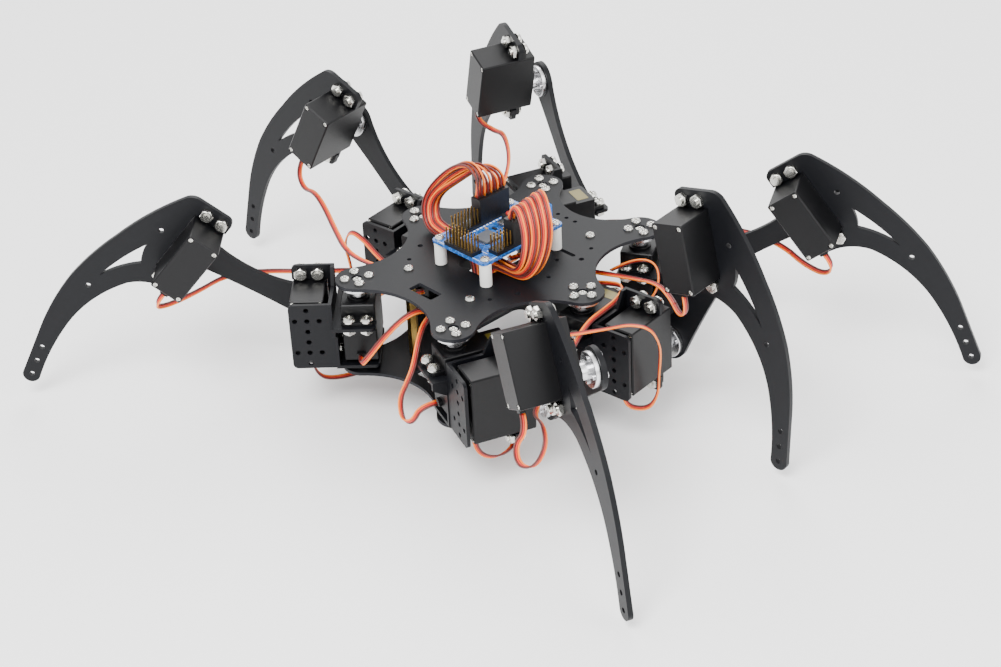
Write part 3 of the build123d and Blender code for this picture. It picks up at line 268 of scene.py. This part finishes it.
class RobotSizes(bpy.types.PropertyGroup):
    """Sizes of the pieces that are added to the model."""

    wire: length("Wire", "Diameter of one wire of a lead", 1.15)
    label_long: length("Label length", "Longer side of a servo label", 13.0)
    label_wide: length("Label width", "Shorter side of a servo label", 7.5)
    label_foil: length("Label foil", "Thickness of a servo label", 0.15)
    chip_side: length("Chip side", "Side of the square controller chip", 11.0)
    chip_height: length("Chip height", "Height of the controller chip", 1.4)
    lens: FloatProperty(name="Lens", description="Focal length of the camera in millimetres", default=80.566, min=1)


def add(tree, kind, inputs=None, **settings):
    """Adds a shader node, with its settings and its socket values or links."""
    made = tree.nodes.new(kind)
    for key, value in settings.items():
        setattr(made, key, value)
    for key, value in (inputs or {}).items():
        if isinstance(value, bpy.types.NodeSocket):
            tree.links.new(value, made.inputs[key])
        else:
            made.inputs[key].default_value = value
    return made


def rgba(rgb, share=1.0):
    """A linear colour with alpha, scaled by share."""
    return (*[min(1.0, part * share) for part in rgb[:3]], 1.0)


def finish(
    name, rgb, *, grain, spread, rough, rough_spread, bump, metal=0.0, stretch=(1, 1, 1), shine=0.5
):
    """A finish with mottled colour, uneven gloss and a fine bump, with the nodes that it is made of.

    The grain of the texture and the bump's height are in millimetres. Each spread is how far the
    colour's share or the roughness goes either side of its middle.
    """
    made = bpy.data.materials.new(name)
    made.use_nodes = True
    tree = made.node_tree
    tree.nodes.clear()
    place = add(tree, "ShaderNodeTexCoord").outputs["Object"]
    stretched = add(tree, "ShaderNodeMapping", {"Vector": place, "Scale": stretch}).outputs["Vector"]
    fine = add(tree, "ShaderNodeTexNoise", {"Vector": stretched, "Scale": 1 / (grain * MM), "Detail": 3.0})
    mottle = MOTTLE_GRAINS * grain * MM
    broad = add(tree, "ShaderNodeTexNoise", {"Vector": place, "Scale": 1 / mottle, "Detail": 4.0})
    shade = add(
        tree,
        "ShaderNodeMix",
        {0: broad.outputs["Fac"], 6: rgba(rgb, 1 - spread), 7: rgba(rgb, 1 + spread)},
        data_type="RGBA",
    ).outputs[2]
    gloss = add(
        tree,
        "ShaderNodeMapRange",
        {0: fine.outputs["Fac"], 3: max(LEAST_ROUGHNESS, rough - rough_spread), 4: rough + rough_spread},
    ).outputs[0]
    relief = add(
        tree, "ShaderNodeBump", {"Height": fine.outputs["Fac"], "Strength": 0.5, "Distance": bump * MM}
    ).outputs["Normal"]
    shader = add(
        tree,
        "ShaderNodeBsdfPrincipled",
        {"Base Color": shade, "Roughness": gloss, "Normal": relief, "Metallic": metal, "Specular IOR Level": shine},
    )
    add(tree, "ShaderNodeOutputMaterial", {"Surface": shader.outputs[0]})
    return made, tree, shader, shade, place


def plain(name, rgb, **looks):
    """A finish that needs nothing more."""
    return finish(name, rgb, **looks)[0]


def split_by(tree, shader, fac, first, second):
    """Runs the shader's colour from first to second as fac goes from nought to one."""
    mixed = add(tree, "ShaderNodeMix", {0: fac, 6: first, 7: second}, data_type="RGBA").outputs[2]
    tree.links.new(mixed, shader.inputs["Base Color"])


def sheet_finish(rgb, edge):
    """Black satin anodised aluminium sheet, cut after rolling: its upright edges show paler."""
    made, tree, shader, shade, place = finish(
        "black_anodised_deck", rgb, grain=0.25, spread=0.2, rough=0.5, rough_spread=0.08, bump=0.01, shine=0.2
    )
    across = add(tree, "ShaderNodeSeparateXYZ", {0: add(tree, "ShaderNodeNewGeometry").outputs["Normal"]})
    level = add(tree, "ShaderNodeMath", {0: across.outputs[2]}, operation="ABSOLUTE").outputs[0]
    upright = add(tree, "ShaderNodeMapRange", {0: level, 1: 0.8, 2: 0.2, 3: 0.0, 4: 0.8}).outputs[0]
    split_by(tree, shader, upright, shade, rgba(edge))
    return made


def pin_finish(rgb, gold, top):
    """Moulded header strip in black, with gold flashed square pins above its top face."""
    made, tree, shader, shade, place = finish(
        "header_and_pins", rgb, grain=0.3, spread=0.1, rough=0.4, rough_spread=0.08, bump=0.01
    )
    height = add(tree, "ShaderNodeSeparateXYZ", {0: place}).outputs[2]
    above = add(tree, "ShaderNodeMath", {0: height, 1: top + 0.1 * MM}, operation="GREATER_THAN").outputs[0]
    split_by(tree, shader, above, shade, rgba(gold))
    tree.links.new(above, shader.inputs["Metallic"])
    return made


def board_finish(rgb, track):
    """Glass-fibre circuit board with a glossy blue coating, paler where copper runs beneath it."""
    made, tree, shader, shade, place = finish(
        "board_coating", rgb, grain=0.4, spread=0.12, rough=0.25, rough_spread=0.05, bump=0.01
    )
    cells = add(
        tree, "ShaderNodeTexVoronoi", {"Vector": place, "Scale": 1 / (TRACK_SPACING * MM)}, feature="DISTANCE_TO_EDGE"
    ).outputs["Distance"]
    line = add(tree, "ShaderNodeMapRange", {0: cells, 1: 0.09, 2: 0.05, 3: 0.0, 4: 0.85}).outputs[0]
    split_by(tree, shader, line, shade, rgba(track))
    return made


def dress(node, *materials):
    """Puts finishes on a CAD node."""
    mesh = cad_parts[node].data
    mesh.materials.clear()
    for material in materials:
        mesh.materials.append(material)


def grid_faces(rows, columns):
    """Quads of a rows by columns grid of points whose columns close into a ring, in order round each face."""
    i, j = np.meshgrid(np.arange(rows - 1), np.arange(columns), indexing="ij")
    here = (i * columns + j).ravel()
    beside = (i * columns + (j + 1) % columns).ravel()
    return np.stack([here, beside, beside + columns, here + columns], 1)


def make_piece(name, points, faces, materials, body, indices=None, smooth=True):
    """A mesh object at the origin from points in metres and a list of face arrays.

    It rides on a body if one is given. Points that fall together at a pole or a shut end become one.
    """
    mesh = bpy.data.meshes.new(name)
    loops = [face for group in faces for face in group.tolist()]
    mesh.from_pydata(points.tolist(), [], loops)
    for material in materials:
        mesh.materials.append(material)
    if indices is not None:
        mesh.polygons.foreach_set("material_index", indices.astype(np.int32))
    mesh.polygons.foreach_set("use_smooth", np.full(len(mesh.polygons), smooth))
    shape = bmesh.new()
    shape.from_mesh(mesh)
    bmesh.ops.remove_doubles(shape, verts=shape.verts, dist=SAME_PLACE)
    shape.to_mesh(mesh)
    shape.free()
    mesh.update()
    made = bpy.data.objects.new(name, mesh)
    bpy.context.scene.collection.objects.link(made)
    if body:
        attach(made, body)
    return made


def block(centre, size, turn=0.0, sharp=0.12, rows=13, columns=32):
    """A box with softened edges: a sphere's directions with sine and cosine raised to the power sharp.

    x = a |cos v|^p |cos u|^p, y = b |cos v|^p |sin u|^p and z = c |sin v|^p, each with its sign, turned about z.
    cos v is rounded, so that it is nought at the poles and their points fall together.
    """
    v = np.linspace(-np.pi / 2, np.pi / 2, rows)[:, None]
    u = (np.linspace(0, 2 * np.pi, columns, endpoint=False) + np.pi / columns)[None, :]

    def power(value):
        return np.sign(value) * np.abs(value) ** sharp

    reach = np.round(np.cos(v), 9)
    x = size[0] / 2 * power(reach) * power(np.cos(u))
    y = size[1] / 2 * power(reach) * power(np.sin(u))
    z = size[2] / 2 * power(np.sin(v)) + 0 * u
    c, s = cos(turn), sin(turn)
    grid = np.stack([c * x - s * y, s * x + c * y, z], -1) + np.array(centre)
    return grid.reshape(-1, 3), grid_faces(rows, columns)


def turned(centre, profile, columns=24):
    """A profile of (radius, height) pairs carried round the upright axis through centre.

    x = r cos u, y = r sin u and z = h for each pair. A profile that starts and ends at radius nought is closed.
    """
    pairs = np.array(profile)
    u = np.linspace(0, 2 * np.pi, columns, endpoint=False)
    x = pairs[:, :1] * np.cos(u)
    y = pairs[:, :1] * np.sin(u)
    z = pairs[:, 1:] + 0 * u
    grid = np.stack([x, y, z], -1) + np.array(centre)
    return grid.reshape(-1, 3), grid_faces(len(pairs), columns)


def joined(parts):
    """Several (points, faces, material index) as one set of arrays."""
    points, faces, indices, start = [], [], [], 0
    for part_points, part_faces, index in parts:
        points.append(part_points)
        faces.append(part_faces + start)
        indices.append(np.full(len(part_faces), index))
        start += len(part_points)
    return np.concatenate(points), faces, np.concatenate(indices)


def spline(corners, samples=10):
    """A clamped quadratic B-spline: it runs through the middle of each stretch and touches it there.

    Between middles m0 and m1 round corner c, the point is (1-t)^2 m0 + 2t(1-t) c + t^2 m1.
    """
    c = np.array(corners) * MM
    middle = (c[:-1] + c[1:]) / 2
    starts = np.concatenate([c[:1], middle[1:-1]])
    ends = np.concatenate([middle[1:-1], c[-1:]])
    inner = c[1:-1]
    t = np.linspace(0, 1, samples, endpoint=False)[None, :, None]
    path = (1 - t) ** 2 * starts[:, None] + 2 * t * (1 - t) * inner[:, None] + t**2 * ends[:, None]
    return np.concatenate([path.reshape(-1, 3), c[-1:]])


def ribbon(path, wire, tilt):
    """Three wires side by side along a path: circles in the plane across it, in a row turned by tilt.

    The row's direction is the path's own flattest direction, made square to the path, then turned by tilt.
    """
    along = np.gradient(path, axis=0)
    along /= np.linalg.norm(along, axis=1, keepdims=True)
    flat = np.linalg.svd(along, full_matrices=False)[2][-1]
    side = flat - (along @ flat)[:, None] * along
    side /= np.linalg.norm(side, axis=1, keepdims=True)
    up = np.cross(along, side)
    row = np.cos(tilt)[:, None] * side + np.sin(tilt)[:, None] * up
    rise = np.cross(along, row)
    angle = np.linspace(0, 2 * np.pi, WIRE_SIDES, endpoint=False)
    parts = []
    for index in (-1, 0, 1):
        centre = path + row * index * wire * WIRE_SPACING
        ring = np.cos(angle)[None, :, None] * row[:, None] + np.sin(angle)[None, :, None] * rise[:, None]
        parts.append((centre[:, None] + ring * wire / 2, index + 1))
    return parts


def closed_wire(rings):
    """A wire's rings with one more at each end, shrunk to the ring's middle, so that the cut end is shut."""
    ends = rings[[0, -1]].mean(1, keepdims=True).repeat(rings.shape[1], 1)
    rings = np.concatenate([ends[:1], rings, ends[1:]])
    return rings.reshape(-1, 3), grid_faces(*rings.shape[:2])


def bundle_corners(rows):
    """The corner lists of nine leads, three rows of three."""
    table = np.array(rows)
    steps = [(row, column) for row in (-1, 0, 1) for column in (-1, 0, 1)]
    return [(table[:, 0] + row * table[:, 1] + column * table[:, 2]).tolist() for row, column in steps]


def leg_point(leg, along, across, height):
    """A point given in a leg's own directions from its hip, in metres."""
    side, (x, y), yaw = HIPS[leg]
    turn = radians(yaw)
    outward = np.array([cos(turn), sin(turn), 0])
    sideways = side * np.array([-sin(turn), cos(turn), 0])
    return (np.array([x, y, 0]) + along * outward + across * sideways + np.array([0, 0, height])) * MM


class ROBOT_OT_finishes(bpy.types.Operator):
    """Gives every CAD node its finish."""

    bl_idname = "robot.finishes"
    bl_label = "Finishes"

    def execute(self, context):
        tones = context.scene.robot_colours
        # Rolled aluminium sheet, cut, bead blasted and black anodised
        sheet = sheet_finish(tones.sheet, tones.sheet_edge)
        bracket = plain(
            "black_anodised_bracket", tones.sheet,
            grain=0.25, spread=0.25, rough=0.46, rough_spread=0.1, bump=0.01, shine=0.2,
        )
        # Injection moulded ABS with a spark-eroded texture
        case = plain(
            "moulded_case", tones.case, grain=0.35, spread=0.15, rough=0.42, rough_spread=0.1, bump=0.03, shine=0.24
        )
        # Rolled-thread steel, zinc or nickel plated
        steel = plain(
            "plated_steel", tones.steel, metal=1.0, grain=0.6, spread=0.08, rough=0.24, rough_spread=0.1, bump=0.005
        )
        # Aluminium bar turned on a lathe and left bright
        horn = plain(
            "turned_horn", tones.horn, metal=1.0,
            grain=0.2, spread=0.06, rough=0.26, rough_spread=0.1, bump=0.01, stretch=(1, 1, 6),
        )
        # Hexagonal brass bar, turned and threaded
        brass = plain(
            "turned_brass", tones.brass, metal=1.0,
            grain=0.4, spread=0.1, rough=0.3, rough_spread=0.1, bump=0.01, stretch=(1, 1, 5),
        )
        # Moulded nylon, slightly waxy
        nylon = plain(
            "moulded_nylon", tones.nylon, grain=0.6, spread=0.03, rough=0.45, rough_spread=0.08, bump=0.01
        )
        # Moulded nylon housings of the plugs and the terminal
        plug = plain("moulded_plug", tones.case, grain=0.3, spread=0.2, rough=0.5, rough_spread=0.1, bump=0.02)
        terminal = plain(
            "moulded_terminal", tones.terminal, grain=0.5, spread=0.06, rough=0.35, rough_spread=0.06, bump=0.01
        )
        strip_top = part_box("lead_plugs")[0].z
        dress("top_plate", sheet)
        dress("bottom_plate", sheet)
        dress("plate_standoffs", brass)
        dress("board_standoffs", nylon)
        dress("controller_board", board_finish(tones.board, tones.track))
        dress("terminal_block", terminal)
        dress("pin_headers", pin_finish(tones.case, tones.pin, strip_top))
        dress("lead_plugs", plug)
        dress("deck_screws", steel)
        dress("hip_horns", horn)
        dress("pivot_bearings", steel)
        for leg in LEGS:
            dress(f"{leg}_hip_brackets", bracket)
            dress(f"{leg}_hip_servos", case)
            dress(f"{leg}_hip_screws", steel)
            dress(f"{leg}_thigh_link", bracket)
            dress(f"{leg}_thigh_horns", horn)
            dress(f"{leg}_claw", bracket)
            dress(f"{leg}_knee_servo", case)
            dress(f"{leg}_claw_screws", steel)
        return {"FINISHED"}


class ROBOT_OT_leads(bpy.types.Operator):
    """Makes the three-wire servo leads."""

    bl_idname = "robot.leads"
    bl_label = "Servo leads"

    def execute(self, context):
        tones = context.scene.robot_colours
        wire = context.scene.robot_sizes.wire
        # Stranded copper in coloured PVC insulation, the three wires moulded side by side
        insulation = {"grain": 0.5, "rough": 0.42, "rough_spread": 0.08, "bump": 0.01}
        skins = [
            plain("signal_insulation", tones.signal_wire, spread=0.1, **insulation),
            plain("supply_insulation", tones.supply_wire, spread=0.1, **insulation),
            plain("ground_insulation", tones.ground_wire, spread=0.12, **insulation),
        ]
        rigid = []
        for number, corners in enumerate(bundle_corners(LEFT_BUNDLE) + bundle_corners(RIGHT_BUNDLE)):
            path = spline(corners)
            travelled = np.concatenate([[0], np.cumsum(np.linalg.norm(np.diff(path, axis=0), axis=1))])
            settled = np.clip(travelled / (PLUG_TURN * MM), 0, 1)
            # Every other lead is plugged in the other way round
            flipped = np.pi * (number % 2)
            wires = ribbon(path, wire, flipped + np.pi / 2 - np.pi / 4 * settled)
            rigid += [(*closed_wire(rings), index) for rings, index in wires]
        points, faces, indices = joined(rigid)
        bundles = make_piece("board_leads", points, faces, skins, "root", indices)
        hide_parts("servo_leads")
        for name, corners in LEAD_ROUTES.items():
            leg, servo = name.rsplit("_", 1)
            path = spline(corners)
            tilt = LEAD_TWIST * np.sin(np.linspace(0, np.pi, len(path)))
            last_point = len(path) - 1
            chain = [f"{leg}_coxa", "root"]
            cuts = [0, last_point]
            if servo == "knee":
                chain = [f"{leg}_claw", f"{leg}_thigh", f"{leg}_coxa", "root"]
                cuts = [0, *[int(len(path) * share) for share in KNEE_CUTS], last_point]
            wires = ribbon(path, wire, tilt)
            for step in range(len(chain) - 1):
                first, last = cuts[step], cuts[step + 1]
                parts = [(*closed_wire(rings[first : last + 1]), index) for rings, index in wires]
                points, faces, indices = joined(parts)
                title = f"{name}_lead_{step + 1}"
                piece = make_piece(title, points, faces, skins, None, indices)
                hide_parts("servo_leads")
                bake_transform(piece)
        return {"FINISHED"}


class ROBOT_OT_board_parts(bpy.types.Operator):
    """Puts the chip and the small parts on the controller board."""

    bl_idname = "robot.board_parts"
    bl_label = "Board parts"

    def execute(self, context):
        tones = context.scene.robot_colours
        sizes = context.scene.robot_sizes
        low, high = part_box("controller_board")
        top = high.z
        middle = np.array([(low.x + high.x) / 2, (low.y + high.y) / 2, top])
        # Epoxy packages, tinned leads, printed white legend, ceramic and glass parts
        skins = [
            plain("chip_epoxy", tones.chip, grain=0.3, spread=0.1, rough=0.5, rough_spread=0.1, bump=0.01),
            plain(
                "tinned_leg", colour("c9cbcc"), metal=1.0,
                grain=0.3, spread=0.08, rough=0.25, rough_spread=0.08, bump=0.004,
            ),
            plain(
                "black_epoxy", colour("1a1b1d"), grain=0.3, spread=0.15, rough=0.5, rough_spread=0.1, bump=0.01
            ),
            plain(
                "white_legend", colour("e6e8ea"), grain=0.4, spread=0.04, rough=0.6, rough_spread=0.05, bump=0.002
            ),
            plain(
                "tan_ceramic", colour("b08d5f"), grain=0.3, spread=0.12, rough=0.4, rough_spread=0.08, bump=0.004
            ),
            plain(
                "green_lens", colour("3fae5a"), grain=0.4, spread=0.08, rough=0.2, rough_spread=0.05, bump=0.002
            ),
            plain(
                "red_cap", colour("b5322b"), grain=0.4, spread=0.08, rough=0.3, rough_spread=0.05, bump=0.004
            ),
        ]
        side, height = sizes.chip_side, sizes.chip_height
        parts = []

        def put(x, y, size, index, turn=0.0, lift=0.0):
            """A block standing on the board, placed in millimetres from the board's middle."""
            centre = middle + np.array([x, y, size[2] / 2 / MM + lift]) * MM
            points, faces = block(centre, size, turn)
            parts.append((points, faces, index))

        chip_x, chip_y = 1.6, -9.6
        put(chip_x, chip_y, (side, side, height), EPOXY, lift=0.2)
        reach = side / MM / 2 + 0.7
        for turn in range(4):
            for leg in range(CHIP_LEGS):
                offset = (leg - (CHIP_LEGS - 1) / 2) * CHIP_PITCH
                angle = turn * np.pi / 2
                x = chip_x + reach * cos(angle) - offset * sin(angle)
                y = chip_y + reach * sin(angle) + offset * cos(angle)
                put(x, y, (1.6 * MM, 0.36 * MM, 0.3 * MM), TIN, angle, 0.05)
        # Each small part's place from the board's middle, its size and its material
        for x, y, sx, sy, sz, index in [
            (4.5, 16.5, 5.0, 4.0, 1.6, BLACK),
            (2.5, 22.5, 6.4, 5.0, 1.8, BLACK),
            (1.5, 11.0, 3.2, 1.6, 0.9, CERAMIC),
            (4.0, 11.8, 3.2, 1.6, 0.9, CERAMIC),
            (8.0, 12.5, 2.0, 1.25, 0.6, BLACK),
            (8.0, 15.0, 2.0, 1.25, 0.6, BLACK),
            (8.0, 17.5, 2.0, 1.25, 0.6, GREEN),
            (-6.6, 8.0, 2.0, 1.25, 0.6, BLACK),
            (-6.6, -2.5, 2.0, 1.25, 0.6, CERAMIC),
            (-3.0, 0.5, 3.2, 1.6, 0.7, BLACK),
            (3.5, 0.0, 2.0, 1.25, 0.6, CERAMIC),
            (9.6, -3.0, 2.0, 1.25, 0.6, BLACK),
            (8.6, 0.5, 2.0, 1.25, 0.6, GREEN),
            (1.0, 5.4, 10.5, 4.4, 3.4, TIN),
            (-4.8, 13.8, 6.2, 6.2, 3.4, BLACK),
            (-5.4, 22.5, 7.0, 5.6, 3.0, TIN),
        ]:
            put(x, y, (sx * MM, sy * MM, sz * MM), index)
        # The push button's cap, and two upright cans
        button = middle + np.array([-4.8, 13.8, 3.2]) * MM
        knob = [(0.0, 1.6), (1.5, 1.6), (1.7, 1.3), (1.7, 0.0), (0.0, 0.0)]
        points, faces = turned(button, np.array(knob)[::-1] * MM)
        parts.append((points, faces, RED))
        can = [(0.0, 0.0), (2.5, 0.0), (2.5, 5.0), (2.3, 5.4), (0.0, 5.4)]
        for x, y in [(9.9, 14.5), (15.5, 11.5)]:
            points, faces = turned(middle + np.array([x, y, 0]) * MM, np.array(can) * MM)
            parts.append((points, faces, TIN))
        wide, deep = (high.x - low.x) / MM, (high.y - low.y) / MM
        # Printed lines: each one's middle, length and width
        for x, y, sx, sy in [
            (0.0, deep / 2 - 1.2, wide - 9, 0.25),
            (0.0, -deep / 2 + 1.2, wide - 9, 0.25),
            (-wide / 2 + 1.2, 0.0, 0.25, deep - 9),
            (wide / 2 - 1.2, 0.0, 0.25, deep - 9),
            (1.5, -22.0, 26.0, 0.25),
        ]:
            put(x, y, (sx * MM, sy * MM, 0.04 * MM), LEGEND)
        for column in range(16):
            for x in (-9.7, 12.6):
                put(x, (column - 7.5) * HEADER_PITCH, (1.0 * MM, 1.5 * MM, 0.04 * MM), LEGEND)
        for column in range(8):
            put((column - 3.5) * HEADER_PITCH, -22.3, (1.5 * MM, 1.0 * MM, 0.04 * MM), LEGEND)
        points, faces, indices = joined(parts)
        make_piece("board_parts", points, faces, skins, "root", indices)
        block_low, block_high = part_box("terminal_block")
        screws = []
        head = [(0.0, 0.0), (1.7, 0.0), (1.7, 0.9), (1.4, 1.2), (0.45, 1.2), (0.35, 0.5), (0.0, 0.5)]
        for share in (0.25, 0.75):
            x = block_low.x + share * (block_high.x - block_low.x)
            centre = np.array([x, (block_low.y + block_high.y) / 2, block_high.z - 2.4 * MM])
            points, faces = turned(centre, np.array(head) * MM)
            screws.append((points, faces, 0))
        points, faces, indices = joined(screws)
        make_piece("terminal_screws", points, faces, [skins[TIN]], "root", indices)
        return {"FINISHED"}


class ROBOT_OT_labels(bpy.types.Operator):
    """Sticks a plain foil label on the lower step of each hip servo."""

    bl_idname = "robot.labels"
    bl_label = "Servo labels"

    def execute(self, context):
        tones = context.scene.robot_colours
        sizes = context.scene.robot_sizes
        # Gold printed foil under clear varnish
        foil = plain(
            "label_foil", tones.label, metal=0.35, grain=0.8, spread=0.1, rough=0.3, rough_spread=0.06, bump=0.004
        )
        for leg in LEGS:
            yaw = radians(HIPS[leg][2])
            centre = leg_point(leg, 0.0, 24.0, -13.6) + np.array([0, 0, sizes.label_foil / 2])
            points, faces = block(centre, (sizes.label_long, sizes.label_wide, sizes.label_foil), yaw)
            make_piece(f"{leg}_servo_label", points, [faces], [foil], f"{leg}_coxa")
        return {"FINISHED"}


def facing(right, up, back):
    """The turn that points something's x, y and z along three directions."""
    return Matrix([[right[i], up[i], back[i]] for i in range(3)]).to_4x4()


class ROBOT_OT_stage(bpy.types.Operator):
    """Makes the floor, the lights and the camera."""

    bl_idname = "robot.stage"
    bl_label = "Stage"

    def execute(self, context):
        scene = context.scene
        tones = scene.robot_colours
        ground = cad_box[0][2] - FLOOR_GAP * MM
        sides = (-FLOOR_SIDE / 2, FLOOR_SIDE / 2)
        points = [(x, y, ground) for y in sides for x in sides]
        # Matt white paper, laid flat
        paper = plain("paper", tones.floor, grain=2.0, spread=0.01, rough=0.8, rough_spread=0.05, bump=0.02)
        mesh = bpy.data.meshes.new("floor")
        mesh.from_pydata(points, [], [(0, 1, 3, 2)])
        mesh.materials.append(paper)
        floor = bpy.data.objects.new("floor", mesh)
        scene.collection.objects.link(floor)
        world = bpy.data.worlds.new("studio")
        world.use_nodes = True
        world.node_tree.nodes["Background"].inputs[0].default_value = (1, 1, 1, 1)
        world.node_tree.nodes["Background"].inputs[1].default_value = WORLD_STRENGTH
        scene.world = world
        # Each light's place and side in metres, and its power in watts
        for name, place, size, power in [
            ("key_light", (0.4, -0.9, 1.3), 0.8, 34.0),
            ("fill_light", (1.3, 0.2, 0.9), 1.1, 12.0),
            ("back_light", (-1.0, 1.0, 1.2), 1.0, 16.0),
        ]:
            light = bpy.data.lights.new(name, "AREA")
            light.size = size
            light.energy = power
            lamp = bpy.data.objects.new(name, light)
            lamp.location = place
            back = np.array(place) / np.linalg.norm(place)
            right = np.cross((0, 0, 1), back)
            right /= np.linalg.norm(right)
            up = np.cross(back, right)
            lamp.matrix_world = Matrix.Translation(place) @ facing(right, up, back)
            scene.collection.objects.link(lamp)
        # The camera's angles, and its place across, above and behind the origin in millimetres
        azimuth, elevation, roll = radians(47.511), radians(31.923), radians(-2.978)
        ahead = np.array([-sin(azimuth) * cos(elevation), cos(azimuth) * cos(elevation), -sin(elevation)])
        level = np.array([cos(azimuth), sin(azimuth), 0])
        raised = np.cross(level, ahead)
        across, above, behind = -2.233, -46.603, 1287.76
        right = cos(roll) * level + sin(roll) * raised
        up = -sin(roll) * level + cos(roll) * raised
        place = (across * level + above * raised - behind * ahead) * MM
        lens = bpy.data.cameras.new("camera")
        lens.sensor_width = 36
        lens.lens = scene.robot_sizes.lens
        camera = bpy.data.objects.new("camera", lens)
        camera.matrix_world = Matrix.Translation(place.tolist()) @ facing(right, up, -ahead)
        scene.collection.objects.link(camera)
        scene.camera = camera
        return {"FINISHED"}


class ROBOT_PT_panel(bpy.types.Panel):
    """The robot's colours, sizes and steps."""

    bl_idname = "ROBOT_PT_panel"
    bl_label = "Six-legged robot"
    bl_space_type = "VIEW_3D"
    bl_region_type = "UI"
    bl_category = "Robot"

    def draw(self, context):
        layout = self.layout
        for group in (context.scene.robot_colours, context.scene.robot_sizes):
            for key in group.__annotations__:
                layout.prop(group, key)
        for step in STEPS:
            layout.operator(step.bl_idname)


STEPS = [ROBOT_OT_stage, ROBOT_OT_finishes, ROBOT_OT_leads, ROBOT_OT_board_parts, ROBOT_OT_labels]
CLASSES = [RobotColours, RobotSizes, *STEPS, ROBOT_PT_panel]


def register():
    for each in CLASSES:
        bpy.utils.register_class(each)
    bpy.types.Scene.robot_colours = PointerProperty(type=RobotColours)
    bpy.types.Scene.robot_sizes = PointerProperty(type=RobotSizes)


def unregister():
    del bpy.types.Scene.robot_sizes
    del bpy.types.Scene.robot_colours
    for each in reversed(CLASSES):
        bpy.utils.unregister_class(each)


def main():
    """Runs every step in order."""
    register()
    bpy.ops.robot.stage()
    bpy.ops.robot.finishes()
    bpy.ops.robot.leads()
    bpy.ops.robot.board_parts()
    bpy.ops.robot.labels()


if __name__ == "__main__":
    main()
